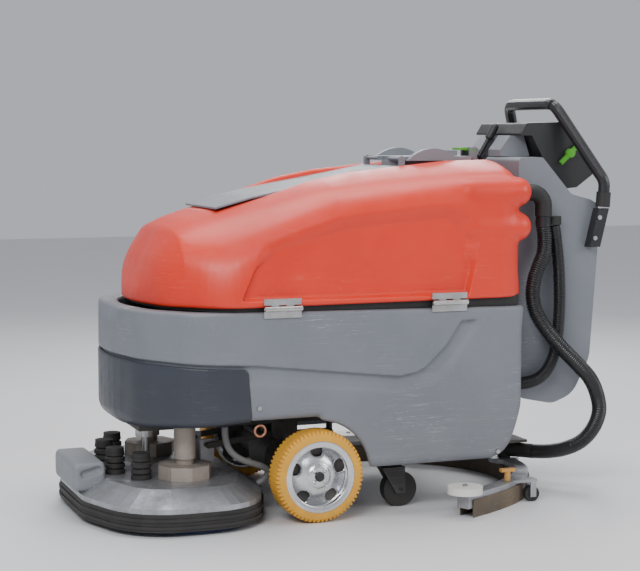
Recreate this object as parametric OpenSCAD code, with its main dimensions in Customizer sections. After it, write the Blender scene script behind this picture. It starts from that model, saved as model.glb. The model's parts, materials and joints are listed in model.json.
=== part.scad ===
// Walk-behind wet and dry floor scrubber. Nose towards -X, operator at +X, floor at Z = 0.

/* [Body] */
// Width of the base and of the recovery tank
body_w = 720; // [640:10:870]
// Length of the base from its nose to its rear face
body_l = 1165; // [1060:5:1400]
// X position of the base's rear face
rear_x = 470; // [440:5:520]
// Height of the seam between the base and the recovery tank
seam_z = 588; // [570:2:660]
// Height of the recovery tank above the seam
tank_h = 400; // [340:5:480]
// Wall thickness of the moulded shells
wall = 8; // [6:0.5:12]
// Thickness of the side skirts that hide the chassis
skirt_wall = 18; // [14:1:22]

/* [Drive wheels] */
// Outer diameter of a drive tyre
tyre_d = 254; // [210:2:270]
// Width of a drive tyre
tyre_w = 80; // [60:2:90]
// Distance from one tyre's centre plane to the other's
track = 670; // [600:5:700]
// Distance of the drive axle ahead of the base's rear face
axle_back = 635; // [600:5:680]
// Diameter of the rim that the tyre sits on
rim_d = 196; // [170:2:204]
// Diameter of the drive shafts
shaft_d = 25; // [20:0.5:32]

/* [Rear casters] */
// Diameter of a caster wheel
caster_d = 100; // [80:2:110]
// Distance between the two caster stems
caster_track = 470; // [380:5:500]
// Distance of the caster stems ahead of the base's rear face
caster_back = 380; // [340:5:400]
// Distance of the wheel axle behind the stem
caster_trail = 32; // [20:1:36]

/* [Scrub deck] */
// Outer diameter of each brush
brush_d = 370; // [300:2:376]
// Distance between the brush centres
brush_gap = 380; // [378:1:460]
// Length of the bristles below the brush plate
bristle_l = 36; // [26:1:38]
// Diameter of the brush spindles
spindle_d = 20; // [14:0.5:24]
// Travel of the deck from the floor to its raised place
deck_lift = 50; // [30:1:55]

/* [Squeegee] */
// Width of the squeegee over its wall rollers
squeegee_w = 980; // [880:10:1100]
// Depth of the squeegee's curve from its tips to its middle
squeegee_bow = 340; // [280:5:380]
// Diameter of a wall roller
roller_d = 98; // [70:1:104]
// Outer diameter of the suction hose
hose_d = 44; // [38:1:46]
// Outer diameter of the drain hose
drain_d = 36; // [30:1:40]

/* [Handle] */
// Diameter of the hand rail
rail_d = 34; // [28:1:38]
// Height of the hand rail's axis above the tank's top
rail_rise = 155; // [140:1:180]
// Distance between the lower ends of the hand rail
rail_span = 524; // [510:2:600]
// Width of the rear column
column_w = 480; // [420:5:494]

/* [Fits] */
// Radial clearance of pins and shafts in their bores
run_fit = 0.05; // [0.02:0.01:0.1]
// Gap between neighbouring pieces
gap = 0.4; // [0.3:0.05:0.6]

/* [Hidden] */

$fn = 64;
nose_x = rear_x - body_l;
half_w = body_w / 2;
top_z = seam_z + tank_h;
LEFT = -1;
RIGHT = 1;

// ---------------------------------------------------------------- helpers

function unit(v) = v / norm(v);
function flat(v) = [v[0], v[1]];
function turned(v, a) = [v[0] * cos(a) - v[1] * sin(a), v[0] * sin(a) + v[1] * cos(a)];
function turn_sign(a, b) = (a[0] * b[1] - a[1] * b[0]) >= 0 ? 1 : -1;

// Closed outline whose corners [x, y, r] become arcs of radius r
function rounded(c, steps = 5) = [
    for (i = [0:len(c) - 1])
        let (
            n = len(c),
            q = flat(c[i]),
            u = unit(flat(c[(i + n - 1) % n]) - q),
            v = unit(flat(c[(i + 1) % n]) - q),
            r = c[i][2],
            half = acos(u * v) / 2,
            from = q + u * r / tan(half),
            middle = q + unit(u + v) * r / sin(half),
            sweep = turn_sign(-u, v) * (180 - 2 * half)
        )
        for (s = r > 0 ? [0:steps] : [0])
            r > 0 ? middle + turned(from - middle, sweep * s / steps) : q
];

// Counter-clockwise corners [x, y, r] moved inwards by d, with their radii following
function inset(c, d) = [
    for (i = [0:len(c) - 1])
        let (
            n = len(c),
            u = unit(flat(c[i]) - flat(c[(i + n - 1) % n])),
            v = unit(flat(c[(i + 1) % n]) - flat(c[i])),
            normal_u = [-u[1], u[0]],
            normal_v = [-v[1], v[0]],
            at = flat(c[i]) + (normal_u + normal_v) * d / (1 + normal_u * normal_v),
            r = c[i][2] - turn_sign(u, v) * d
        )
        [at[0], at[1], c[i][2] > 0 && r > 1 ? r : 0]
];

// Outline in X and Z, extruded across the machine from y0 to y1
module side_slab(points, y0, y1) {
    translate([0, max(y0, y1), 0])
        rotate([90, 0, 0])
            linear_extrude(height = abs(y1 - y0))
                polygon(points);
}

// Outline in X and Y, extruded from z0 to z1
module plan_slab(points, z0, z1) {
    translate([0, 0, z0])
        linear_extrude(height = z1 - z0)
            polygon(points);
}

module block(low, high) {
    translate(low)
        cube(high - low);
}

// Round bar along Y, from y0 to y1
module bar_y(d, x, z, y0, y1) {
    translate([x, y1, z])
        rotate([90, 0, 0])
            cylinder(d = d, h = y1 - y0);
}

// Round bar along X, from x0 to x1
module bar_x(d, y, z, x0, x1) {
    translate([x0, y, z])
        rotate([0, 90, 0])
            cylinder(d = d, h = x1 - x0);
}

module bar_z(d, x, y, z0, z1) {
    translate([x, y, z0])
        cylinder(d = d, h = z1 - z0);
}

// Ring of points round a path, square to its direction, for a swept tube
function sweep_ring(path, i, r, sides) =
    let (
        last = len(path) - 1,
        dir = unit(path[min(i + 1, last)] - path[max(i - 1, 0)]),
        side = unit(cross(dir, abs(dir[1]) < 0.9 ? [0, 1, 0] : [1, 0, 0])),
        other = cross(dir, side)
    )
    [for (k = [0:sides - 1]) path[i] + r * (cos(360 * k / sides) * side + sin(360 * k / sides) * other)];

// Smooth path through route points, with n steps between each pair
function curve_point(a, b, c, d, t) =
    b + 0.5 * t * (c - a + t * (2 * a - 5 * b + 4 * c - d + t * (3 * (b - c) + d - a)));
function smooth_path(p, n) = [
    for (i = [0:len(p) - 2])
        for (s = [0:n - 1])
            curve_point(p[max(i - 1, 0)], p[i], p[i + 1], p[min(i + 2, len(p) - 1)], s / n),
    p[len(p) - 1]
];

module tube_along(path, d, sides = 10) {
    rings = [for (i = [0:len(path) - 1]) each sweep_ring(path, i, d / 2, sides)];
    last = (len(path) - 1) * sides;
    polyhedron(
        points = rings,
        faces = concat(
            [[for (k = [0:sides - 1]) k]],
            [[for (k = [sides - 1:-1:0]) last + k]],
            [for (i = [0:len(path) - 2])
                for (k = [0:sides - 1])
                    let (a = i * sides + k, b = i * sides + (k + 1) % sides)
                    each [[a, a + sides, b], [b, a + sides, b + sides]]]
        )
    );
}

// ---------------------------------------------------------------- driving outlines

// Base, seen from the side
seam_drop = 16;                     // the base's rim falls this much towards the rear
arch_r = tyre_d / 2 + 24;
axle_x = rear_x - axle_back;
wheel_r = tyre_d / 2;
skirt_z = 134;                      // lower edge of the rear side skirts
front_z = 264;                      // lower edge of the nose
belly_z = 284;                      // underside of the base between the skirts
base_side = [
    [nose_x + 40, seam_z - 2, 12], [nose_x, seam_z - 118, 60], [nose_x + 4, front_z + 24, 20],
    [nose_x + 46, front_z, 10], [axle_x - 190, front_z + 20, 0], [axle_x, front_z + 22, 0],
    [axle_x + arch_r, front_z + 4, 60], [axle_x + arch_r, skirt_z + 8, 14],
    [rear_x - 66, skirt_z, 90], [rear_x - 2, seam_z - 300, 60], [rear_x, seam_z - seam_drop, 12]
];
// Base and tank, seen from above; the nose is bowed
function plan_outline(front, back, w) = [
    [front, 0, 500], [front + 60, -w * 0.62, 160], [front + 190, -w, 170], [back, -w, 44],
    [back, w, 44], [front + 190, w, 170], [front + 60, w * 0.62, 160]
];

module base_form(d) {
    intersection() {
        side_slab(rounded(inset(base_side, d)), -half_w, half_w);
        plan_slab(rounded(inset(plan_outline(nose_x, rear_x, half_w), d)), 0, seam_z + 20);
    }
}

// Recovery tank, seen from the side
tank_floor_z = seam_z + 15;
tank_side = [
    [nose_x + 76, tank_floor_z, 12], [rear_x - 4, tank_floor_z, 12], [rear_x, top_z - 2, 42],
    [rear_x - 180, top_z - 6, 1500], [nose_x + 700, top_z - 33, 1000], [nose_x + 560, top_z - 62, 900],
    [nose_x + 406, top_z - 108, 0], [nose_x + 216, top_z - 164, 0], [nose_x + 168, top_z - 190, 60],
    [nose_x + 128, top_z - 263, 400]
];

// Tank body: side and plan outlines, with its shoulders cut by the side outline leaned over
module tank_form(d) {
    intersection() {
        side_slab(rounded(inset(tank_side, d), 3), -half_w, half_w);
        plan_slab(rounded(inset(plan_outline(nose_x + 70, rear_x, half_w), d)), seam_z, top_z + 20);
        tank_shoulder(LEFT, 24, half_w * 0.6, d);
        tank_shoulder(RIGHT, 24, half_w * 0.6, d);
        tank_shoulder(LEFT, 54, half_w * 0.86, d);
        tank_shoulder(RIGHT, 54, half_w * 0.86, d);
    }
}

module tank_shoulder(side, lean, from_y, d) {
    pivot_z = top_z - 60;
    translate([0, side * from_y, pivot_z])
        rotate([-side * lean, 0, 0])
            translate([0, 0, -pivot_z])
                side_slab([
                    [nose_x - 200, -900], [rear_x + 200, -900], [rear_x + 200, top_z - d],
                    [rear_x - 160, top_z - 7 - d], [nose_x + 600, top_z - 50 - d],
                    [nose_x + 180, top_z - 195 - d], [nose_x - 200, top_z - 620]
                ], -1400, 1400);
}

// Line of the sunken grey inlay along the tank's top, from front to rear
inlay_line = [
    [nose_x + 304, top_z - 140], [nose_x + 407, top_z - 113], [nose_x + 555, top_z - 84],
    [nose_x + 705, top_z - 58], [nose_x + 859, top_z - 30], [rear_x - 40, top_z - 16]
];
inlay_w = 300;

// Scrub deck, seen from above
deck_x = nose_x + 200;
deck_z = 62;
deck_outline = [
    [deck_x - 276, -150, 190], [deck_x - 190, -400, 190], [deck_x + 150, -400, 165], [deck_x + 228, -170, 170],
    [deck_x + 228, 170, 170], [deck_x + 150, 400, 165], [deck_x - 190, 400, 190], [deck_x - 276, 150, 190]
];
plate_z = bristle_l;
plate_t = 14;
dome_top_z = 116;

// Squeegee: middle line as a function of Y, seen from above
squeegee_x = rear_x + 105;
tip_y = squeegee_w / 2 - roller_d / 2;
function squeegee_line(y) = squeegee_x - squeegee_bow * pow(abs(y) / tip_y, 2.6);
function squeegee_dir(y) = unit([squeegee_line(y + 1) - squeegee_line(y - 1), 2]);
function squeegee_offset(y, d) = [squeegee_line(y), y] + d * [squeegee_dir(y)[1], -squeegee_dir(y)[0]];
// Strip between two offsets of that line, out to +/- y_end
function squeegee_strip(d0, d1, y_end, n = 28) = concat(
    [for (i = [0:n]) squeegee_offset(-y_end + 2 * y_end * i / n, d1)],
    [for (i = [n:-1:0]) squeegee_offset(-y_end + 2 * y_end * i / n, d0)]
);
squeegee_z0 = 26;
squeegee_z1 = 66;

// Links that carry the deck and the squeegee
yoke_pivot = [deck_x + 300, 204];
yoke_l = 200;
yoke_tip = [yoke_pivot[0] - yoke_l, yoke_pivot[1] - deck_lift / 2];
lift_pin_d = 12;
hanger_lift = 30;
hanger_pivot = [rear_x - 200, 176];
hanger_l = 200;
hanger_tip = [hanger_pivot[0] + hanger_l, hanger_pivot[1] - hanger_lift / 2];

// Tank hinge line
hinge_y = -half_w - 8;
hinge_z = seam_z + 2;
hinge_pin_d = 6;
hinge_knuckle_d = 14;
hinge_leaf_t = 3;
hinge_x = [nose_x + 373, rear_x - 302];
hinge_l = 106;

// Rear column, seen from the side
column_gap = 24;
column_side = [
    [rear_x + column_gap, seam_z - 298, 30], [rear_x + 140, seam_z - 322, 60], [rear_x + 208, seam_z - 296, 80],
    [rear_x + 262, seam_z - 190, 90], [rear_x + 284, seam_z + 120, 0], [rear_x + 284, top_z - 138, 12],
    [rear_x + 257, top_z - 124, 0], [rear_x + 196, top_z - 108, 30], [rear_x + 100, top_z, 14],
    [rear_x + column_gap, top_z - 2, 12]
];

// Pivot of the squeegee lever, in ears behind the column's front wall
lever_pivot = [rear_x + 38, top_z - 45];
lever_pin_d = 16;
lever_slot_w = 40;

// Console and control box, seen from the side
console_side = [
    [rear_x + 34, top_z + gap], [rear_x + 130, top_z + gap], [rear_x + 110, top_z + 62],
    [rear_x + 66, top_z + 62], [rear_x + 34, top_z + 20]
];
box_side = rounded([
    [rear_x + 200, seam_z + 303, 6], [rear_x + 262, top_z - 92, 8], [rear_x + 325, top_z - 47, 10],
    [rear_x + 216, top_z + 102, 10], [rear_x + 94, top_z + 98, 8], [rear_x + 72, top_z + 62 + gap, 4],
    [rear_x + 112, top_z + 62 + gap, 4]
]);
box_w = 300;

// Hand rail, from one lower end over the top to the other
rail_z = top_z + rail_rise;
rail_half = rail_span / 2;
rail_path_left = [
    [rear_x + 289, -rail_half, top_z - 118], [rear_x + 292, -rail_half, top_z - 72],
    [rear_x + 184, -146, rail_z], [rear_x + 184, 0, rail_z]
];

// Cords: hand-placed route points
suction_route = [
    [552, -282, 819], [552, -283, 792], [554, -287, 758], [550, -291, 715], [534, -291, 675], [520, -291, 635],
    [516, -291, 590], [526, -298, 540], [556, -309, 490], [600, -313, 440], [652, -309, 392], [704, -294, 344],
    [744, -266, 292], [766, -244, 236], [764, -214, 180], [742, -180, 134], [708, -142, 108], [672, -106, 96],
    [640, -72, 92]
];
drain_route = [
    [594, -266, 790], [600, -267, 760], [606, -268, 720], [611, -269, 670], [614, -269, 615], [615, -269, 560],
    [613, -268, 505], [608, -268, 455], [598, -268, 410], [578, -268, 372], [550, -268, 348], [518, -268, 338],
    [486, -268, 336], [452, -268, 336]
];
solution_route = [
    [-398, -250, 262], [-398, -250, 240], [-394, -250, 216], [-384, -250, 194], [-366, -249, 176],
    [-342, -247, 162], [-316, -244, 152], [-290, -240, 142], [-270, -232, 128], [-268, -222, 112],
    [-276, -212, 98], [-290, -205, 87]
];
solution_d = 18;

// ---------------------------------------------------------------- base and chassis

module chassis_frame() {
    rail_y = 100;
    tube = 40;
    color("dimgray")
        difference() {
            union() {
                for (side = [LEFT, RIGHT])
                    block([nose_x + 90, side * rail_y - tube / 2, belly_z - tube - 6],
                          [rear_x - 30, side * rail_y + tube / 2, belly_z - 6]);
                for (x = [nose_x + 90, axle_x - 90, axle_x + 60, rear_x - 70])
                    block([x, -rail_y, belly_z - tube - 6], [x + tube, rail_y, belly_z - 6]);
                // Caster crossbeam
                block([rear_x - caster_back - 45, -caster_track / 2 - 50, belly_z - 30],
                      [rear_x - caster_back + 45, caster_track / 2 + 50, belly_z - 6]);
                // Ears for the deck yoke and for the squeegee arms
                for (side = [LEFT, RIGHT]) {
                    ear([yoke_pivot[0], side * 100, yoke_pivot[1]], lift_pin_d, 12, belly_z - 20);
                    ear([hanger_pivot[0], side * 90, hanger_pivot[1]], lift_pin_d, 12, belly_z - 20);
                }
            }
            bar_z(62, deck_x - 60, 0, belly_z - 80, belly_z + 40);
        }
}

// Plate ear with a cross bore, hanging from height top
module ear(at, bore_d, t, top) {
    translate([at[0], at[1], 0])
        difference() {
            union() {
                translate([0, t / 2, at[2]])
                    rotate([90, 0, 0])
                        cylinder(d = bore_d * 2.6, h = t);
                translate([-bore_d * 1.3, -t / 2, at[2]])
                    cube([bore_d * 2.6, t, top - at[2]]);
            }
            bar_y(bore_d + 2 * run_fit, 0, at[2], -t, t);
        }
}

// Band round the nose where the dark cover sits
module cover_zone(grow) {
    side_slab(rounded([
        [nose_x - 40, front_z + 24 - grow, 0], [nose_x + 345 + grow, front_z + 25 - grow, 0],
        [nose_x + 330 + grow, front_z + 166 + grow, 16], [nose_x - 40, front_z + 176 + grow, 0]
    ]), -half_w - 20, half_w + 20);
}

// Undercut line that runs along each flank and sweeps up at the rear
flank_groove = rounded([
    [nose_x + 346, seam_z - 178, 0], [rear_x - 397, seam_z - 219, 60], [rear_x - 270, seam_z - 190, 90],
    [rear_x - 170, seam_z - 50, 10], [rear_x - 210, seam_z - 49, 6], [rear_x - 256, seam_z - 117, 60],
    [rear_x - 330, seam_z - 186, 80], [rear_x - 397, seam_z - 197, 40], [nose_x + 346, seam_z - 148, 0]
], 3);

module base_housing() {
    color("slategray")
        difference() {
            base_form(0);
            // Solution tank and battery well
            intersection() {
                base_form(wall + 22);
                union() {
                    block([axle_x - 170, -half_w, belly_z + wall], [rear_x, half_w, seam_z]);
                    block([nose_x, -half_w, belly_z + 70], [rear_x, half_w, seam_z]);
                }
            }
            block([nose_x + 190, -half_w + 60, seam_z - 60], [rear_x - 60, half_w - 60, seam_z + 10]);
            // Underbody, open below
            block([axle_x - 190, -half_w + skirt_wall, 0], [rear_x - 28, half_w - skirt_wall, belly_z]);
            intersection() {
                plan_slab(rounded(inset(plan_outline(nose_x, rear_x, half_w), skirt_wall)), 0, belly_z + 60);
                block([nose_x, -half_w, 0], [axle_x - 180, half_w, belly_z + 60]);
            }
            // Seat of the front cover
            difference() {
                cover_zone(gap);
                base_form(6 + gap);
            }
            for (side = [LEFT, RIGHT])
                side_slab(flank_groove, side * half_w - 9, side * half_w + 9);
            // Inlet of the drain hose
            bar_x(drain_d + 4 * gap, -268, 336, rear_x - 60, rear_x + 10);
        }
}

module front_cover() {
    color("darkslategray")
        difference() {
            intersection() {
                base_form(0);
                cover_zone(0);
            }
            base_form(6);
        }
}

battery = [260, 180, 262];
well_step = 24;                      // rise of the battery well towards the nose

module battery_pack() {
    color("gray")
        for (i = [0, 1], j = [-1, 0])
            translate([rear_x - 760 + i * (battery[0] + 3), j * (battery[1] + 3) + 1.5,
                       belly_z + wall + gap + (1 - i) * well_step]) {
                cube([battery[0], battery[1], battery[2] - 14]);
                for (t = [0.2, 0.8])
                    translate([battery[0] * t, battery[1] / 2, battery[2] - 14])
                        cylinder(d = 18, h = 14);
            }
}

module transaxle() {
    hub_y = track / 2 - tyre_w / 2 - 6;
    color("dimgray")
        difference() {
            union() {
                bar_y(120, axle_x, wheel_r, -70, 70);
                bar_y(64, axle_x, wheel_r, -hub_y, hub_y);
                bar_x(110, 0, wheel_r + 10, axle_x, axle_x + 170);
                for (side = [LEFT, RIGHT])
                    block([axle_x - 8, side * 100 - 18, wheel_r],
                          [axle_x + 24, side * 100 + 18, belly_z - 46 - gap]);
            }
            bar_y(shaft_d + 2 * run_fit, axle_x, wheel_r, -hub_y - 5, hub_y + 5);
        }
}

stem_d = 20;

module caster_mounts() {
    x = rear_x - caster_back;
    color("silver")
        for (side = [LEFT, RIGHT])
            difference() {
                union() {
                    block([x - 40, side * caster_track / 2 - 40, belly_z - 36 - gap],
                          [x + 40, side * caster_track / 2 + 40, belly_z - 30 - gap]);
                    bar_z(44, x, side * caster_track / 2, belly_z - 96, belly_z - 36 - gap);
                }
                bar_z(stem_d + 2 * run_fit, x, side * caster_track / 2, belly_z - 120, belly_z);
            }
}

module tank_seal() {
    color("black")
        difference() {
            intersection() {
                side_slab([
                    [nose_x + 40, seam_z - 2 + gap], [rear_x, seam_z - seam_drop + gap],
                    [rear_x, tank_floor_z - gap], [nose_x + 40, tank_floor_z - gap]
                ], -half_w, half_w);
                plan_slab(rounded(inset(plan_outline(nose_x + 70, rear_x, half_w), 16)), 0, 900);
            }
            plan_slab(rounded(inset(plan_outline(nose_x + 70, rear_x, half_w), 44)), 0, 900);
        }
}

// ---------------------------------------------------------------- tank hinges

module hinge_part(side_z, knuckles) {
    leaf_h = 17;
    for (x0 = hinge_x)
        difference() {
            union() {
                block([x0, -half_w - hinge_leaf_t, side_z > 0 ? hinge_z + 10 : hinge_z - 8 - leaf_h],
                      [x0 + hinge_l, -half_w, side_z > 0 ? hinge_z + 10 + leaf_h : hinge_z - 8]);
                for (k = knuckles) {
                    bar_x(hinge_knuckle_d, hinge_y, hinge_z, x0 + k * hinge_l / 5 + gap / 2,
                          x0 + (k + 1) * hinge_l / 5 - gap / 2);
                    block([x0 + k * hinge_l / 5 + gap / 2, -half_w - hinge_leaf_t,
                           side_z > 0 ? hinge_z : hinge_z - 12],
                          [x0 + (k + 1) * hinge_l / 5 - gap / 2, -half_w - gap,
                           side_z > 0 ? hinge_z + 12 : hinge_z]);
                }
            }
            bar_x(hinge_pin_d + 2 * run_fit, hinge_y, hinge_z, x0 - 5, x0 + hinge_l + 5);
        }
}

module base_hinge_leaves() {
    color("silver")
        hinge_part(-1, [0, 2, 4]);
}

module tank_hinge_leaves() {
    color("silver")
        hinge_part(1, [1, 3]);
}

module hinge_pins() {
    color("silver")
        for (x0 = hinge_x)
            bar_x(hinge_pin_d, hinge_y, hinge_z, x0 - 2, x0 + hinge_l + 2);
}

// ---------------------------------------------------------------- recovery tank

module recovery_tank() {
    pocket = 14;
    color("orangered")
        difference() {
            union() {
                tank_form(0);
                for (side = [LEFT, RIGHT], z = [top_z - 92, top_z - 189])
                    tank_lobe(side, z);
            }
            // Inside of the tank, kept clear of the sunken inlay
            difference() {
                tank_form(wall + pocket);
                side_slab(concat([for (p = inlay_line) p - [0, wall]],
                                 [[rear_x, top_z + 60], [nose_x + 300, top_z + 60]]),
                          -inlay_w / 2 - wall, inlay_w / 2 + wall);
            }
            // Flank recess
            for (side = [LEFT, RIGHT])
                side_slab(rounded([
                    [nose_x + 309, tank_floor_z + 6, 6], [rear_x - 186, tank_floor_z + 4, 6],
                    [rear_x - 142, top_z - 190, 60], [rear_x - 240, top_z - 124, 120],
                    [nose_x + 619, top_z - 150, 300], [nose_x + 385, top_z - 212, 60]
                ]), side * (half_w - pocket), side * (half_w - pocket) + side * 60);
            // Sunken inlay and the mouth under the lid
            side_slab(concat(inlay_line, [[rear_x - 40, top_z + 60], [nose_x + 300, top_z + 60]]),
                      -inlay_w / 2, inlay_w / 2);
            translate([rear_x - 205, 0, top_z - 80])
                cylinder(d = 190, h = 120);
            // Port of the suction hose
            bar_x(34, -250, top_z - 100, rear_x - 60, rear_x + 10);
        }
}

module tank_lobe(side, z) {
    r = 26;
    translate([rear_x - 60, side * (half_w - r - 2), z])
        rotate([0, 90, 0])
            rotate_extrude()
                polygon(concat([[0, 0]], [for (a = [0:15:90]) [r * cos(a), 54 + r * sin(a)]]));
}

lid_pivot = [rear_x - 298, top_z - 4];
lid_pin_d = 8;
latch_pivot = [rear_x - 22, top_z + 18];
latch_pin_d = 8;

module top_inlay() {
    lift = 0.3;
    t = 5;
    front = inlay_line[0];
    color("gray")
        difference() {
            side_slab(concat(
                [for (p = inlay_line) p + [0, lift]],
                [for (i = [len(inlay_line) - 1:-1:0]) inlay_line[i] + [0, lift + t]]
            ), -inlay_w / 2 + 2, inlay_w / 2 - 2);
            translate([rear_x - 205, 0, top_z - 80])
                cylinder(d = 206, h = 200);
            block([rear_x - 302, -inlay_w, top_z - 100], [rear_x + 40, inlay_w, top_z + 100]);
        }
    // Hinge lugs of the lid
    color("gray")
        difference() {
            for (side = [LEFT, RIGHT]) {
                bar_y(16, lid_pivot[0], lid_pivot[1], side * 133 - 6, side * 133 + 6);
                block([lid_pivot[0] - 8, side * 133 - 6, lid_pivot[1] - 26],
                      [lid_pivot[0] + 8, side * 133 + 6, lid_pivot[1]]);
            }
            bar_y(lid_pin_d + 2 * run_fit, lid_pivot[0], lid_pivot[1], -200, 200);
            side_slab([
                [rear_x - 400, top_z - 200], [rear_x - 200, top_z - 200],
                for (i = [len(inlay_line) - 1:-1:3]) inlay_line[i] + [0, lift]
            ], -200, 200);
        }
    // Catch that carries the latch
    color("gray")
        difference() {
            union() {
                block([rear_x - 68, -32, top_z - 13], [rear_x - 8, 32, top_z - 2]);
                for (side = [LEFT, RIGHT])
                    block([rear_x - 34, side * 29 - 4, top_z - 5], [rear_x - 10, side * 29 + 4, top_z + 27]);
            }
            bar_y(latch_pin_d + 2 * run_fit, latch_pivot[0], latch_pivot[1], -50, 50);
            tank_form(-gap);
        }
}

// Lid with its two arched side fins
module tank_lid() {
    fin_y = 118;
    fin_t = 22;
    base_z = top_z - 14;
    color("lightslategray")
        union() {
            difference() {
                block([rear_x - 296, -122, base_z + 4], [rear_x - 72, 122, base_z + 16]);
                block([rear_x - 310, -30, base_z], [rear_x - 284, 30, base_z + 30]);
            }
            for (side = [LEFT, RIGHT])
                intersection() {
                    translate([rear_x - 200, side * (fin_y + fin_t / 2) + fin_t / 2, base_z - 72])
                        rotate([90, 0, 0])
                            cylinder(d = 222, h = fin_t);
                    block([rear_x - 296, -200, base_z + 4], [rear_x - 80, 200, top_z + 60]);
                }
            for (side = [LEFT, RIGHT])
                bar_y(lid_pin_d, lid_pivot[0], lid_pivot[1], side * 90 - 50, side * 90 + 50);
            // Lip that the latch holds
            block([rear_x - 96, -26, base_z + 14], [rear_x - 72, 26, top_z + 18]);
            // Neck that plugs the mouth
            translate([rear_x - 205, 0, base_z - 16])
                difference() {
                    cylinder(d = 184, h = 20);
                    translate([0, 0, -1])
                        cylinder(d = 168, h = 18);
                }
        }
}

// Green latch that hooks over the lid's rear lip
module lid_latch() {
    color("limegreen")
        union() {
            bar_y(12, latch_pivot[0], latch_pivot[1], -24, 24);
            bar_y(latch_pin_d, latch_pivot[0], latch_pivot[1], -33, 33);
            block([latch_pivot[0] - 44, -22, latch_pivot[1] + 1], [latch_pivot[0], 22, latch_pivot[1] + 8]);
            block([latch_pivot[0], -22, latch_pivot[1] - 4], [latch_pivot[0] + 20, 22, latch_pivot[1] + 6]);
        }
}

// ---------------------------------------------------------------- rear column, console and handle

module rear_column() {
    color("slategray")
        difference() {
            union() {
                difference() {
                    side_slab(rounded(column_side), -column_w / 2, column_w / 2);
                    side_slab(rounded(inset(column_side, wall)), -column_w / 2 + wall, column_w / 2 - wall);
                }
                for (side = [LEFT, RIGHT])
                    block([rear_x + column_gap + 2, side * (lever_slot_w / 2 + 5) - 5, top_z - 80],
                          [lever_pivot[0] + 16, side * (lever_slot_w / 2 + 5) + 5, top_z - 20]);
            }
            block([rear_x, -lever_slot_w / 2, top_z - 90], [rear_x + 80, lever_slot_w / 2, top_z + 10]);
            bar_y(lever_pin_d + 2 * run_fit, lever_pivot[0], lever_pivot[1], -40, 40);
        }
}

module console_housing() {
    color("lightslategray")
        difference() {
            side_slab(console_side, -100, 100);
            block([rear_x + 20, -lever_slot_w / 2, top_z - 10], [rear_x + 70, lever_slot_w / 2, top_z + 80]);
        }
}

paddle_pivot = [rear_x + 235, top_z + 10];
paddle_shaft_d = 12;

// Black control box: hollow, open towards the operator, with a floor half way
pocket_top = [rear_x + 180, top_z + 64];
pocket_foot = [rear_x + 250, top_z - 40];

module control_box() {
    rim = 26;
    color("black")
        difference() {
            side_slab(box_side, -box_w / 2, box_w / 2);
            side_slab([pocket_foot, [rear_x + 330, top_z - 20], [rear_x + 238, top_z + 106], pocket_top],
                      -box_w / 2 + rim, box_w / 2 - rim);
            bar_y(paddle_shaft_d + 2 * run_fit, paddle_pivot[0], paddle_pivot[1], -box_w, box_w);
        }
}

module drive_paddle() {
    reach = 44;
    lean = 43;
    color("limegreen")
        union() {
            bar_y(paddle_shaft_d, paddle_pivot[0], paddle_pivot[1], -box_w / 2 - 16, box_w / 2 + 16);
            for (side = [LEFT, RIGHT])
                translate([paddle_pivot[0], side * (box_w / 2 + 9), paddle_pivot[1]])
                    rotate([0, -lean, 0]) {
                        rotate([90, 0, 0])
                            cylinder(d = 26, h = 14, center = true);
                        translate([-reach, -5, -6])
                            cube([2 * reach - 8, 10, 12]);
                    }
        }
}

knob_along = 0.3;
knob_foot = pocket_top + knob_along * (pocket_foot - pocket_top);
knob_tilt = 90 - atan2(pocket_foot[0] - pocket_top[0], pocket_top[1] - pocket_foot[1]);

// Speed knob in the bottom of the control pocket
module control_knob() {
    color("dimgray")
        translate([knob_foot[0], -60, knob_foot[1]])
            rotate([0, knob_tilt, 0])
                translate([0, 0, gap])
                    cylinder(d = 34, h = 18);
}

module handle_rail() {
    left = rounded_path(rail_path_left, 48, 6);
    whole = concat(left, [for (i = [len(left) - 2:-1:0]) [left[i][0], -left[i][1], left[i][2]]]);
    color("black")
        tube_along(whole, rail_d, 12);
}

// Open 3-D path whose inner corners are rounded with radius r
function rounded_path(p, r, steps) = [
    p[0],
    for (i = [1:len(p) - 2])
        let (
            u = unit(p[i - 1] - p[i]),
            v = unit(p[i + 1] - p[i]),
            half = acos(u * v) / 2,
            reach = min(r / tan(half), norm(p[i + 1] - p[i]) * 0.48, norm(p[i - 1] - p[i]) * 0.48),
            a = p[i] + u * reach,
            b = p[i] + v * reach
        )
        for (s = [0:steps])
            let (t = s / steps)
            a * pow(1 - t, 2) + p[i] * 2 * t * (1 - t) + b * t * t,
    p[len(p) - 1]
];

module handle_sleeves() {
    color("black")
        for (side = [LEFT, RIGHT])
            translate([rear_x + 287, side * rail_half, top_z - 146])
                rotate([0, 4, 0])
                    difference() {
                        cylinder(d = rail_d + 8, h = 44);
                        translate([0, 0, 26])
                            cylinder(d = rail_d + 2 * gap, h = 60);
                    }
}

module handle_brackets() {
    color("dimgray")
        for (side = [LEFT, RIGHT])
            difference() {
                side_slab([
                    [rear_x + 240, top_z - 262], [rear_x + 274, top_z - 262],
                    [rear_x + 302, top_z - 150], [rear_x + 268, top_z - 150]
                ], side * (column_w / 2 + gap), side * (rail_half + 12));
                for (z = [top_z - 176, top_z - 236])
                    bar_y(8.2, rear_x + 270 + (z - top_z + 176) * 0.24, z, -rail_half - 40, rail_half + 40);
            }
}

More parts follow.
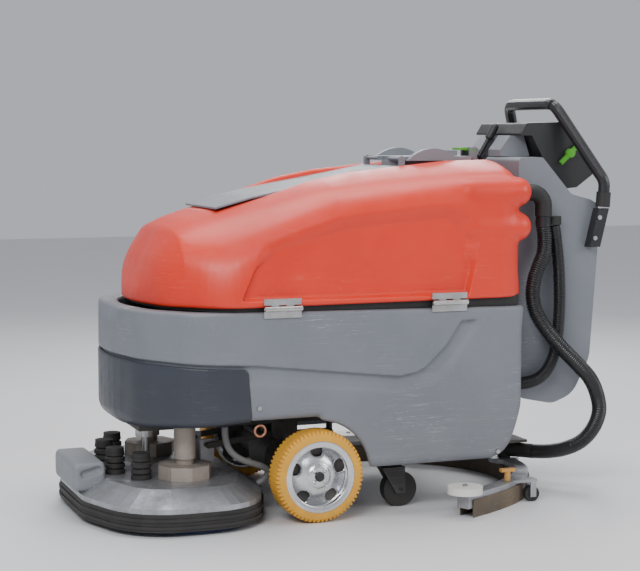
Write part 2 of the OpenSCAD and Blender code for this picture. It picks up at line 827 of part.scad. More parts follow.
// Screws of the handle brackets and of the base's front cover
module fasteners() {
    color("silver")
        union() {
            for (side = [LEFT, RIGHT], z = [top_z - 176, top_z - 236])
                translate([rear_x + 270 + (z - top_z + 176) * 0.24, side * (rail_half + 12 + gap), z])
                    rotate([-side * 90, 0, 0])
                        cylinder(d = 13, h = 4);
            for (side = [LEFT, RIGHT], x = [nose_x + 360, rear_x - 95])
                translate([x, side * half_w, x < 0 ? front_z + 60 : skirt_z + 26])
                    rotate([-side * 90, 0, 0])
                        cylinder(d = 12, h = 3);
        }
}

module suction_motor() {
    color("dimgray")
        translate([rear_x + 120, 60, top_z - 190])
            union() {
                cylinder(d = 140, h = 60);
                translate([0, 0, 60])
                    cylinder(d = 96, h = 38);
            }
}

module drive_controller() {
    color("silver")
        block([rear_x + 60, -120, seam_z - 120], [rear_x + 200, 60, seam_z - 60]);
}

elbow_r = 38;
elbow_z = top_z - 100;

// Rubber elbow from the tank's rear face down to the hose
module hose_elbow() {
    spout = 39.8;
    color("black")
        translate([rear_x + gap + 6, -263.5, elbow_z])
            rotate([0, 0, -14])
                union() {
                    rotate([0, 90, 0])
                        cylinder(d = hose_d + 4, h = spout);
                    translate([spout, 0, -elbow_r])
                        rotate([90, 0, 0])
                            rotate_extrude(angle = 90)
                                translate([elbow_r, 0])
                                    circle(d = hose_d + 4);
                    translate([spout + elbow_r, 0, -elbow_r - 30])
                        cylinder(d = hose_d + 4, h = 30);
                }
}

// Plug and strap that close and hold the drain hose's free end
module drain_plug() {
    color("black")
        union() {
            translate(drain_route[0] + [0, 0, 4])
                cylinder(d = drain_d + 8, h = 24);
            block([586, -drain_d / 2 - 260, 800], [602, -column_w / 2 - gap, 812]);
        }
}

module lashing_rings() {
    color("peru")
        for (side = [LEFT, RIGHT])
            translate([nose_x + 370, side * (half_w - 26), front_z - 6])
                rotate([90, 0, 0])
                    rotate_extrude($fn = 32)
                        translate([15, 0])
                            circle(d = 7, $fn = 24);
}

// ---------------------------------------------------------------- cords

module suction_hose() {
    color("black")
        tube_along(smooth_path(suction_route, 2), hose_d, 10);
}

module drain_hose() {
    color("black")
        tube_along(smooth_path(drain_route, 1), drain_d, 10);
}

module solution_hose() {
    color("gray")
        tube_along(smooth_path(solution_route, 1), solution_d, 8);
}

// ---------------------------------------------------------------- hand controls

lever_kink = [-26, 45];

module squeegee_lever() {
    color("black")
        union() {
            bar_y(lever_pin_d, lever_pivot[0], lever_pivot[1], -30, 30);
            translate([lever_pivot[0], 0, lever_pivot[1]])
                rotate([0, atan2(lever_kink[0], lever_kink[1]), 0])
                    cylinder(d = 13, h = norm(lever_kink));
            translate([lever_pivot[0] + lever_kink[0], 0, lever_pivot[1] + lever_kink[1]]) {
                sphere(d = 16);
                rotate([0, 31, 0])
                    rotate_extrude()
                        polygon(concat([[0, 0], [6.5, 0], [6.5, 58], [12, 62]],
                                       [for (a = [0:15:90]) [12 * cos(a), 100 + 12 * sin(a)]]));
            }
        }
}

// ---------------------------------------------------------------- drive wheels

// Cast rim with its dished centre, and the shaft that turns it
module drive_wheel(side) {
    y_in = track / 2 - tyre_w / 2;
    dish = 34;
    color("silver")
        translate([axle_x, side * y_in, wheel_r])
            rotate([side > 0 ? -90 : 90, 0, 0])
                union() {
                    rotate_extrude()
                        polygon([
                            [0, -y_in + 76], [shaft_d / 2, -y_in + 76], [shaft_d / 2, 6], [60, 6],
                            [rim_d / 2 - 12, 14], [rim_d / 2 - 12, 0], [rim_d / 2, 0], [rim_d / 2, tyre_w],
                            [rim_d / 2 - 5, tyre_w], [rim_d / 2 - 13, tyre_w - 8], [rim_d / 2 - 13, 26],
                            [56, tyre_w - dish - 6], [34, tyre_w - dish], [22, tyre_w - dish],
                            [22, tyre_w - dish + 10], [0, tyre_w - dish + 10]
                        ]);
                    for (a = [45:90:315])
                        rotate([0, 0, a])
                            translate([44, 0, tyre_w - dish - 6])
                                cylinder(d = 13, h = 10, $fn = 24);
                }
}

module drive_tyre(side) {
    y_in = track / 2 - tyre_w / 2;
    color("orange")
        translate([axle_x, side * y_in, wheel_r])
            rotate([side > 0 ? -90 : 90, 0, 0])
                rotate_extrude()
                    polygon([
                        [rim_d / 2 + 0.05, 0], [wheel_r - 8, 0], [wheel_r, 7], [wheel_r, tyre_w - 7],
                        [wheel_r - 8, tyre_w], [rim_d / 2 + 0.05, tyre_w]
                    ]);
}

module wheel_left() { drive_wheel(LEFT); }
module wheel_right() { drive_wheel(RIGHT); }
module tyre_left() { drive_tyre(LEFT); }
module tyre_right() { drive_tyre(RIGHT); }

// ---------------------------------------------------------------- rear casters

caster_w = 32;
caster_axle_d = 10;

module caster_fork(side) {
    x = rear_x - caster_back;
    y = side * caster_track / 2;
    crown_z = caster_d + 8;
    color("gray")
        difference() {
            union() {
                bar_z(stem_d, x, y, crown_z, belly_z - 44);
                block([x - 24, y - caster_w / 2 - 7, crown_z], [x + caster_trail + 12, y + caster_w / 2 + 7, crown_z + 6]);
                for (s = [-1, 1])
                    side_slab([
                        [x + caster_trail - 14, caster_d / 2 - 12], [x + caster_trail + 14, caster_d / 2 - 12],
                        [x + caster_trail + 12, crown_z + 1], [x - 24, crown_z + 1]
                    ], y + s * (caster_w / 2 + 4) - 2.5, y + s * (caster_w / 2 + 4) + 2.5);
            }
            bar_y(caster_axle_d + 2 * run_fit, x + caster_trail, caster_d / 2, y - 60, y + 60);
        }
}

module caster_wheel(side) {
    x = rear_x - caster_back + caster_trail;
    y = side * caster_track / 2;
    color("black")
        union() {
            bar_y(caster_d, x, caster_d / 2, y - caster_w / 2, y + caster_w / 2);
            bar_y(caster_axle_d, x, caster_d / 2, y - caster_w / 2 - 9, y + caster_w / 2 + 9);
        }
}

module caster_fork_left() { caster_fork(LEFT); }
module caster_fork_right() { caster_fork(RIGHT); }
module caster_wheel_left() { caster_wheel(LEFT); }
module caster_wheel_right() { caster_wheel(RIGHT); }

// ---------------------------------------------------------------- scrub deck

motor_d = 60;
rod_d = 20;

module deck_housing() {
    shell = 7;
    color("silver")
        difference() {
            union() {
                hull() {
                    plan_slab(rounded(deck_outline, 6), deck_z, deck_z + 14);
                    plan_slab(rounded(inset(deck_outline, 66), 6), dome_top_z - 1, dome_top_z);
                }
                for (side = [LEFT, RIGHT])
                    block([yoke_tip[0] - 20, side * 66 - 6, dome_top_z - 8],
                          [yoke_tip[0] + 20, side * 66 + 6, yoke_tip[1] + 16]);
            }
            hull() {
                plan_slab(rounded(inset(deck_outline, shell), 6), deck_z - 1, deck_z + 8);
                plan_slab(rounded(inset(deck_outline, 72), 6), dome_top_z - shell - 1, dome_top_z - shell);
            }
            for (side = [LEFT, RIGHT])
                bar_z(spindle_d + 2 * run_fit, deck_x, side * brush_gap / 2, 0, 200);
            // Slots that let the yoke's pins slide a little as the deck rises
            slot_y(yoke_tip, lift_pin_d + 2 * gap, 8);
        }
}

// Slot across the machine, for a pin of diameter d that slides along X
module slot_y(at, d, travel) {
    for (s = [-1, 1])
        bar_y(d, at[0] + s * travel / 2, at[1], -90, 90);
    block([at[0] - travel / 2, -90, at[1] - d / 2], [at[0] + travel / 2, 90, at[1] + d / 2]);
}

module deck_skirt() {
    color("black")
        difference() {
            union() {
                plan_slab(rounded(inset(deck_outline, -2), 6), 14, deck_z - gap);
                plan_slab(rounded(inset(deck_outline, -6), 6), 22, 30);
                plan_slab(rounded(inset(deck_outline, -6), 6), 42, 50);
            }
            plan_slab(rounded(inset(deck_outline, 6), 6), 0, 100);
        }
}

bumper_front = nose_x - 96;

module bumper_block() {
    top = 160;
    w = 128;
    color("slategray")
        difference() {
            plan_slab(rounded([
                [bumper_front, -w, 22], [deck_x - 205, -w, 10], [deck_x - 205, w, 10], [bumper_front, w, 22]
            ]), deck_z + 20, top);
            hull() {
                plan_slab(rounded(inset(deck_outline, -gap), 6), deck_z, deck_z + 14);
                plan_slab(rounded(inset(deck_outline, 66 - gap), 6), dome_top_z - 1, dome_top_z + gap);
            }
            bar_z(14, bumper_front + 60, 0, top - 6, top + 5);
        }
}

module brush_motors() {
    color("rosybrown")
        for (side = [LEFT, RIGHT])
            translate([deck_x, side * brush_gap / 2, dome_top_z + gap])
                difference() {
                    union() {
                        cylinder(d = 150, h = 38, $fn = 8);
                        translate([0, 0, 38])
                            cylinder(d = 48, h = 16);
                        translate([0, 0, 54])
                            cylinder(d = motor_d, h = 92);
                    }
                    translate([0, 0, -1])
                        cylinder(d = spindle_d + 2 * run_fit, h = 31);
                }
}

buffer_places = [
    for (side = [LEFT, RIGHT]) each [[deck_x - 166, side * 66, 0], [deck_x - 118, side * 168, 0]]
];

module deck_buffers() {
    color("black")
        for (p = buffer_places)
            translate([p[0], p[1], dome_top_z + gap])
                rotate_extrude($fn = 40)
                    polygon([
                        [0, 0], [28, 0], [28, 10], [22, 14], [28, 18], [28, 26], [22, 30], [28, 34], [28, 44],
                        [22, 48], [26, 52], [26, 60], [0, 60]
                    ]);
    color("wheat")
        for (p = buffer_places)
            translate([p[0], p[1], dome_top_z + 60 + 2 * gap])
                cylinder(d = 50, h = 12, $fn = 40);
}

// Rod of the lift actuator; it stands on the deck and slides in the actuator's tube
module lift_rod() {
    color("silver")
        bar_z(rod_d, deck_x - 60, 0, dome_top_z + gap, belly_z - 8);
}

module lift_yoke() {
    color("dimgray")
        union() {
            for (side = [LEFT, RIGHT]) {
                link_y(yoke_pivot, yoke_tip, 16, side * 84 - 5, side * 84 + 5);
                bar_y(lift_pin_d, yoke_pivot[0], yoke_pivot[1], side > 0 ? 78 : -110, side > 0 ? 110 : -78);
                bar_y(lift_pin_d, yoke_tip[0], yoke_tip[1], side > 0 ? 56 : -88, side > 0 ? 88 : -56);
            }
            bar_y(16, yoke_pivot[0] - 40, yoke_pivot[1] - deck_lift / 2 * 40 / yoke_l, -84, 84);
        }
}

// Flat link between two pin centres given in X and Z
module link_y(a, b, w, y0, y1) {
    along = unit(b - a);
    across = [-along[1], along[0]] * w / 2;
    corners = [a + across, a - across, b - across, b + across];
    side_slab(corners, y0, y1);
    for (p = [a, b])
        bar_y(w, p[0], p[1], y0, y1);
}

// Actuator tube on the chassis and its rod, which stands on the deck, are coaxial
module lift_actuator() {
    color("silver")
        difference() {
            bar_z(60, deck_x - 60, 0, belly_z - 80, belly_z + 56);
            bar_z(rod_d + 2 * run_fit, deck_x - 60, 0, 0, belly_z + 46);
        }
}

// Brush plate, its spindle, and the ring of bristles
module brush(side) {
    color("royalblue")
        translate([deck_x, side * brush_gap / 2, 0])
            union() {
                rotate_extrude()
                    polygon([
                        [0, plate_z], [brush_d / 2 - 24, plate_z], [brush_d / 2, 0], [60, 0], [60, plate_z - 2],
                        [0, plate_z - 2]
                    ]);
                translate([0, 0, plate_z - 2])
                    cylinder(d = brush_d - 40, h = plate_t);
                translate([0, 0, plate_z])
                    cylinder(d = spindle_d, h = dome_top_z + 26 - plate_z);
            }
}

module brush_left() { brush(LEFT); }
module brush_right() { brush(RIGHT); }

// ---------------------------------------------------------------- squeegee

elbow_leg_z = squeegee_z1 + hose_d / 2 + 4;
spigot_d = 40;

module squeegee_arms() {
    color("dimgray")
        union() {
            for (side = [LEFT, RIGHT]) {
                link_y(hanger_pivot, hanger_tip, 22, side * 74 - 5, side * 74 + 5);
                bar_y(lift_pin_d, hanger_pivot[0], hanger_pivot[1], side > 0 ? 68 : -100, side > 0 ? 100 : -68);
                bar_y(lift_pin_d, hanger_tip[0], hanger_tip[1], side > 0 ? 46 : -78, side > 0 ? 78 : -46);
            }
            bar_y(16, hanger_pivot[0] + 40, hanger_pivot[1] - hanger_lift / 2 * 40 / hanger_l, -74, 74);
        }
}

module squeegee_carrier() {
    plate = elbow_leg_z + hose_d / 2 + 6;
    color("gray")
        difference() {
            union() {
                block([hanger_tip[0] - 20, -66, plate], [squeegee_x + 46, 66, plate + 8]);
                for (side = [LEFT, RIGHT])
                    block([hanger_tip[0] - 20, side * 58 - 6, plate],
                          [hanger_tip[0] + 20, side * 58 + 6, hanger_tip[1] + 16]);
            }
            slot_y(hanger_tip, lift_pin_d + 2 * gap, 8);
        }
}

// Swivel elbow under the carrier plate; the squeegee swings round its spigot
module suction_elbow() {
    aim = [suction_route[len(suction_route) - 1][0] - squeegee_x, suction_route[len(suction_route) - 1][1]];
    leg = norm(aim) - 5 * gap;
    color("black")
        translate([squeegee_x, 0, 0])
            union() {
                bar_z(spigot_d, 0, 0, squeegee_z0 + 12, elbow_leg_z);
                translate([0, 0, elbow_leg_z])
                    sphere(d = hose_d);
                translate([0, 0, elbow_leg_z])
                    rotate([0, 90, atan2(aim[1], aim[0])])
                        cylinder(d = hose_d, h = leg);
                bar_z(20, 0, 0, elbow_leg_z, elbow_leg_z + hose_d / 2 + 6);
            }
}

// Small wheels behind the blades that carry the squeegee's ends
support_d = 44;
support_y = tip_y * 0.72;
support_back = 73;

module squeegee_body() {
    color("silver")
        difference() {
            union() {
                plan_slab(squeegee_strip(-20, 20, tip_y + 4), squeegee_z0, squeegee_z1);
                bar_z(92, squeegee_x, 0, squeegee_z1 - 14 + gap, squeegee_z1);
                for (side = [LEFT, RIGHT]) {
                    bar_z(14, squeegee_line(tip_y), side * tip_y, squeegee_z1 - 10, squeegee_z1 + 26);
                    // Bracket of the support wheel
                    translate([squeegee_line(support_y) + support_back, side * support_y, 0]) {
                        block([-64, -17, squeegee_z1 - 8], [12, 17, squeegee_z1]);
                        bar_y(8, 0, support_d / 2, -16, 16);
                        for (s = [-1, 1])
                            block([-9, s * 14.5 - 2.5, support_d / 2 - 8], [9, s * 14.5 + 2.5, squeegee_z1 - 4]);
                    }
                }
            }
            plan_slab(squeegee_strip(-12, 12, tip_y - 30), squeegee_z0 - 1, squeegee_z1 - 8);
            bar_z(spigot_d + 2 * run_fit, squeegee_x, 0, 0, squeegee_z1 + 10);
            for (side = [LEFT, RIGHT])
                bar_z(10 + 2 * run_fit, squeegee_line(tip_y * 0.73), side * tip_y * 0.73, 0, squeegee_z1 + 10);
        }
}

module squeegee_blades() {
    t = 4;
    color("tan")
        for (d = [-20 - t - gap, 20 + gap])
            plan_slab(squeegee_strip(d, d + t, tip_y - 4), 0, squeegee_z1 - 16);
}

module wall_roller(side) {
    color("white")
        translate([squeegee_line(tip_y), side * tip_y, squeegee_z1 + 1])
            difference() {
                cylinder(d = roller_d, h = 20);
                translate([0, 0, -1])
                    cylinder(d = 14 + 2 * run_fit, h = 30);
            }
}

module wall_roller_left() { wall_roller(LEFT); }
module wall_roller_right() { wall_roller(RIGHT); }

module support_wheels() {
    color("black")
        for (side = [LEFT, RIGHT])
            difference() {
                bar_y(support_d, squeegee_line(support_y) + support_back, support_d / 2,
                      side * support_y - 10, side * support_y + 10);
                bar_y(8 + 2 * run_fit, squeegee_line(support_y) + support_back, support_d / 2, -half_w, half_w);
            }
}

module squeegee_knob(side) {
    color("gold")
        translate([squeegee_line(tip_y * 0.73), side * tip_y * 0.73, 0])
            union() {
                bar_z(10, 0, 0, squeegee_z1 - 20, squeegee_z1 + 10);
                bar_z(18, 0, 0, squeegee_z1 + gap, squeegee_z1 + 30);
                translate([-22, -8, squeegee_z1 + 26])
                    cube([44, 16, 9]);
            }
}

module squeegee_knob_left() { squeegee_knob(LEFT); }
module squeegee_knob_right() { squeegee_knob(RIGHT); }

// ---------------------------------------------------------------- nodes

chassis_frame();
base_housing();
front_cover();
battery_pack();
transaxle();
caster_mounts();
tank_seal();
base_hinge_leaves();
hinge_pins();
rear_column();
console_housing();
control_box();
handle_rail();
handle_brackets();
handle_sleeves();
fasteners();
suction_motor();
drive_controller();
hose_elbow();
drain_plug();
lashing_rings();
suction_hose();
drain_hose();
solution_hose();
lift_actuator();
recovery_tank();
tank_hinge_leaves();
top_inlay();
tank_lid();
lid_latch();
squeegee_lever();
drive_paddle();
control_knob();
wheel_left();
wheel_right();
tyre_left();
tyre_right();
caster_fork_left();
caster_fork_right();
caster_wheel_left();
caster_wheel_right();
deck_housing();
deck_skirt();
bumper_block();
brush_motors();
deck_buffers();
lift_rod();
lift_yoke();
brush_left();
brush_right();
squeegee_arms();
squeegee_carrier();
suction_elbow();
squeegee_body();
squeegee_blades();
wall_roller_left();
wall_roller_right();
support_wheels();
squeegee_knob_left();
squeegee_knob_right();
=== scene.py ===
import json
import math

import bpy
import numpy as np
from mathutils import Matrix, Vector


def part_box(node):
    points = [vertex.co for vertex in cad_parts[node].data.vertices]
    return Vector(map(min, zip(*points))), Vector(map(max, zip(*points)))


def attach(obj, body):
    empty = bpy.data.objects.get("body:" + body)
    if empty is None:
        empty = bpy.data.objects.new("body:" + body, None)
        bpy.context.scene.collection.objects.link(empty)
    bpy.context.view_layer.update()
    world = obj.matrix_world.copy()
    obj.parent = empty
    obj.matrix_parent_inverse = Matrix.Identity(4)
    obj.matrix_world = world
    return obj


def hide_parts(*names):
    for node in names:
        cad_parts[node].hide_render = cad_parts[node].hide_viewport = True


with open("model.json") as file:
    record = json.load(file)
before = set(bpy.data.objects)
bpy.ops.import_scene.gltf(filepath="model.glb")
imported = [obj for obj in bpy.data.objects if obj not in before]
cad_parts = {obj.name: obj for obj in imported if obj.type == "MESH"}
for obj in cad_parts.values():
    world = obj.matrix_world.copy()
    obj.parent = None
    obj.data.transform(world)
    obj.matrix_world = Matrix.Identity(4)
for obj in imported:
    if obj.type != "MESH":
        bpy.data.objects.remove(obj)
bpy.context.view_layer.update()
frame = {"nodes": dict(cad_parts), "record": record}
ROOT = "machine"

# ---------------------------------------------------------------- camera


def make_camera():
    data = bpy.data.cameras.new("camera")
    data.sensor_width = 36.0
    data.lens = 95.6
    camera = bpy.data.objects.new("camera", data)
    camera.location = (-1.759, -4.631, 1.066)
    looks_along = Vector((0.3487, 0.9328, -0.0911))
    camera.rotation_euler = looks_along.to_track_quat("-Z", "Y").to_euler()
    bpy.context.scene.collection.objects.link(camera)
    bpy.context.scene.camera = camera


make_camera()

# ---------------------------------------------------------------- meshes


def mesh_piece(name, points, faces, smooth=True):
    """A mesh object in the row frame, in metres."""
    mesh = bpy.data.meshes.new(name)
    mesh.from_pydata([tuple(map(float, p)) for p in points], [], [tuple(map(int, f)) for f in faces])
    mesh.update()
    if smooth:
        mesh.shade_smooth()
    piece = bpy.data.objects.new(name, mesh)
    bpy.context.scene.collection.objects.link(piece)
    return piece


def place(piece, body, material, stands_for=()):
    piece.data.materials.clear()
    piece.data.materials.append(material)
    if stands_for:
        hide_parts(*stands_for)
    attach(piece, body)
    return piece


def smooth_curve(points, step):
    """Points along a Catmull-Rom curve through the given points, a step apart."""
    p = np.array(points, float)
    p = np.vstack([p[0], p, p[-1]])
    fine = []
    for i in range(1, len(p) - 2):
        a, b, c, d = p[i - 1], p[i], p[i + 1], p[i + 2]
        for t in np.arange(0, 1, 1 / 24):
            fine.append(b + 0.5 * t * (c - a + t * (2 * a - 5 * b + 4 * c - d + t * (3 * (b - c) + d - a))))
    fine.append(p[-2])
    fine = np.array(fine)
    run = np.concatenate([[0], np.cumsum(np.linalg.norm(np.diff(fine, axis=0), axis=1))])
    at = np.linspace(0, run[-1], max(int(run[-1] / step), 2))
    return np.stack([np.interp(at, run, fine[:, k]) for k in range(3)], 1)


def swept_tube(name, path, radii, sides=20, caps=True):
    """A tube round a path, with one radius per path point, on frames that don't twist."""
    path = np.array(path, float)
    along = np.gradient(path, axis=0)
    along /= np.linalg.norm(along, axis=1)[:, None]
    side = np.cross(along[0], (0, 1, 0) if abs(along[0][1]) < 0.9 else (1, 0, 0))
    points = []
    turn = 2 * np.pi * np.arange(sides) / sides
    for p, t, r in zip(path, along, radii):
        side = side - t * side.dot(t)
        side /= np.linalg.norm(side)
        other = np.cross(t, side)
        points.append(p + r * (np.cos(turn)[:, None] * side + np.sin(turn)[:, None] * other))
    points = np.vstack(points)
    k = np.arange(sides)
    ring = np.stack([k, (k + 1) % sides, (k + 1) % sides + sides, k + sides], 1)
    faces = [tuple(q) for i in range(len(path) - 1) for q in ring + i * sides]
    if caps:
        faces += [tuple(k[::-1]), tuple(k + (len(path) - 1) * sides)]
    return mesh_piece(name, points, faces)


def lathed(name, profile, centre, axis, sides=48, smooth=True):
    """Solid of revolution of (radius, height) points round an axis through centre."""
    axis = Vector(axis).normalized()
    turn = Vector((0, 0, 1)).rotation_difference(axis).to_matrix()
    points, faces = [], []
    angles = 2 * np.pi * np.arange(sides) / sides
    for r, h in profile:
        for a in angles:
            points.append(turn @ Vector((r * math.cos(a), r * math.sin(a), h)) + Vector(centre))
    for i in range(len(profile) - 1):
        for k in range(sides):
            n = (k + 1) % sides
            faces.append((i * sides + k, i * sides + n, (i + 1) * sides + n, (i + 1) * sides + k))
    faces.append(tuple(range(sides))[::-1])
    faces.append(tuple(range((len(profile) - 1) * sides, len(profile) * sides)))
    return mesh_piece(name, points, faces, smooth)


def sharpen(piece, angle=35):
    """Smooth faces with sharp edges where two faces meet at more than the angle."""
    mesh = piece.data
    mesh.shade_smooth()
    mesh.set_sharp_from_angle(angle=math.radians(angle))
    return piece

# ---------------------------------------------------------------- rounded shapes from fields


def arcs(corners, steps=6):
    """Closed outline whose corners (u, v, r) are rounded."""
    out = []
    n = len(corners)
    for i, corner in enumerate(corners):
        q = np.array(corner[:2], float)
        r = corner[2] if len(corner) > 2 else 0
        if r <= 0:
            out.append(q)
            continue
        u = np.array(corners[i - 1][:2]) - q
        v = np.array(corners[(i + 1) % n][:2]) - q
        u, v = u / np.linalg.norm(u), v / np.linalg.norm(v)
        half = math.acos(max(-1, min(1, float(u @ v)))) / 2
        middle = q + (u + v) / np.linalg.norm(u + v) * r / math.sin(half)
        start = q + u * r / math.tan(half) - middle
        turn = math.pi - 2 * half
        if -u[0] * v[1] + u[1] * v[0] < 0:
            turn = -turn
        for s in range(steps + 1):
            a = turn * s / steps
            c, d = math.cos(a), math.sin(a)
            out.append(middle + np.array([start[0] * c - start[1] * d, start[0] * d + start[1] * c]))
    return np.array(out)


def outline_distance(points, u, v):
    """Signed distance to a closed outline, below zero inside."""
    u, v = np.broadcast_arrays(u, v)
    best = np.full(u.shape, 1e9)
    inside = np.zeros(u.shape, bool)
    for (ax, ay), (bx, by) in zip(points, np.roll(points, -1, axis=0)):
        ex, ey = bx - ax, by - ay
        length2 = ex * ex + ey * ey
        if length2 < 1e-14:
            continue
        wx, wy = u - ax, v - ay
        t = np.clip((wx * ex + wy * ey) / length2, 0, 1)
        best = np.minimum(best, (wx - ex * t) ** 2 + (wy - ey * t) ** 2)
        if ey != 0:
            inside ^= ((ay > v) != (by > v)) & (u < ax + wy * ex / ey)
    return np.where(inside, -1, 1) * np.sqrt(best)


def both(a, b, k):
    """Common part of two fields, its edge rounded over k."""
    h = np.maximum(k - np.abs(a - b), 0) / k
    return np.maximum(a, b) + h * h * k * 0.25


def either(a, b, k):
    return -both(-a, -b, k)


def less(a, b, k):
    return both(a, -b, k)


def box_distance(x, y, z, low, high):
    """Signed distance to a box, near enough for cutting."""
    return np.maximum(np.maximum(np.maximum(low[0] - x, x - high[0]), np.maximum(low[1] - y, y - high[1])),
                      np.maximum(low[2] - z, z - high[2]))


def capsule(x, y, z, a, b, r0, r1):
    """Distance to a tapered round bar from a to b."""
    a, b = np.array(a, float), np.array(b, float)
    e = b - a
    t = np.clip(((x - a[0]) * e[0] + (y - a[1]) * e[1] + (z - a[2]) * e[2]) / (e @ e), 0, 1)
    gap = np.sqrt((x - a[0] - e[0] * t) ** 2 + (y - a[1] - e[1] * t) ** 2 + (z - a[2] - e[2] * t) ** 2)
    return gap - (r0 + (r1 - r0) * t)


def shell_piece(name, field, low, high, step):
    """Closed mesh of the surface where the field is zero."""
    axes = [np.arange(a - 1.5 * step, b + 2.5 * step, step) for a, b in zip(low, high)]
    shape = tuple(len(a) for a in axes)
    x, y, z = axes[0][:, None, None], axes[1][None, :, None], axes[2][None, None, :]
    value = np.array(np.broadcast_to(field(x, y, z), shape), np.float32)
    for a in range(3):
        ends = [slice(None)] * 3
        ends[a] = [0, -1]
        value[tuple(ends)] = np.maximum(value[tuple(ends)], 0.1 * step)
    inside = value < 0
    cells = tuple(n - 1 for n in shape)
    total = int(np.prod(cells))
    count = np.zeros(total)
    sums = np.zeros((3, total))
    quads = []
    for a in range(3):
        start, end = [slice(None)] * 3, [slice(None)] * 3
        start[a], end[a] = slice(0, -1), slice(1, None)
        start, end = tuple(start), tuple(end)
        crossing = inside[start] != inside[end]
        index = np.stack(np.nonzero(crossing), 1)
        f0, f1 = value[start][crossing], value[end][crossing]
        at = np.stack([axes[k][index[:, k]] for k in range(3)], 1)
        at[:, a] += step * f0 / (f0 - f1)
        b, c = (a + 1) % 3, (a + 2) % 3
        corners = []
        for db, dc in ((-1, -1), (0, -1), (0, 0), (-1, 0)):
            cell = index.copy()
            cell[:, b] += db
            cell[:, c] += dc
            flat = np.ravel_multi_index(cell.T, cells)
            count += np.bincount(flat, minlength=total)
            for k in range(3):
                sums[k] += np.bincount(flat, weights=at[:, k], minlength=total)
            corners.append(flat)
        quad = np.stack(corners, 1)
        out = inside[start][crossing]
        quad[~out] = quad[~out][:, ::-1]
        quads.append(quad)
    used = np.flatnonzero(count)
    number = np.zeros(total, int)
    number[used] = np.arange(len(used))
    points = (sums[:, used] / count[used]).T
    eps = 0.0004
    for _ in range(3):
        px, py, pz = points.T
        here = field(px, py, pz)
        slope = np.stack([
            field(px + eps, py, pz) - field(px - eps, py, pz),
            field(px, py + eps, pz) - field(px, py - eps, pz),
            field(px, py, pz + eps) - field(px, py, pz - eps),
        ], 1) / (2 * eps)
        move = slope * (here / np.maximum((slope ** 2).sum(1), 0.05))[:, None]
        length = np.linalg.norm(move, axis=1)
        move *= np.minimum(1, 0.5 * step / np.maximum(length, 1e-9))[:, None]
        points = points - move
    return mesh_piece(name, points, number[np.vstack(quads)])

# ---------------------------------------------------------------- materials


class Net:
    """Short way to place and link nodes in one node tree."""

    def __init__(self, tree):
        self.tree = tree

    def add(self, kind, inputs=None, **settings):
        made = self.tree.nodes.new(kind)
        for key, value in settings.items():
            setattr(made, key, value)
        for key, value in (inputs or {}).items():
            socket = made.inputs[key]
            if isinstance(value, bpy.types.NodeSocket):
                self.tree.links.new(value, socket)
            else:
                socket.default_value = value
        return made

    def math(self, operation, a, b=0.0, clamp=False):
        return self.add("ShaderNodeMath", {0: a, 1: b}, operation=operation, use_clamp=clamp).outputs[0]

    def ramp(self, value, low, high, to_low=0.0, to_high=1.0):
        return self.add("ShaderNodeMapRange", {"Value": value, "From Min": low, "From Max": high,
                                               "To Min": to_low, "To Max": to_high}).outputs[0]

    def mix(self, factor, a, b):
        made = self.add("ShaderNodeMix", {"Factor": factor}, data_type="RGBA")
        for socket, value in ((made.inputs[6], a), (made.inputs[7], b)):
            if isinstance(value, bpy.types.NodeSocket):
                self.tree.links.new(value, socket)
            else:
                socket.default_value = value
        return made.outputs[2]

    def noise(self, vector, scale, detail=4.0, rough=0.55, distortion=0.0):
        return self.add("ShaderNodeTexNoise", {"Vector": vector, "Scale": scale, "Detail": detail,
                                               "Roughness": rough, "Distortion": distortion}).outputs["Fac"]

    def stretched(self, vector, scale):
        return self.add("ShaderNodeMapping", {"Vector": vector, "Scale": scale}).outputs[0]


def new_group(name, inputs, outputs):
    group = bpy.data.node_groups.new(name, "ShaderNodeTree")
    for label, kind, value in inputs:
        socket = group.interface.new_socket(name=label, in_out="INPUT", socket_type=kind)
        if value is not None:
            socket.default_value = value
    for label, kind in outputs:
        group.interface.new_socket(name=label, in_out="OUTPUT", socket_type=kind)
    net = Net(group)
    return group, net, net.add("NodeGroupInput").outputs, net.add("NodeGroupOutput").inputs


COLOUR, NUMBER = "NodeSocketColor", "NodeSocketFloat"
GRAIN_DEPTH = 0.0004


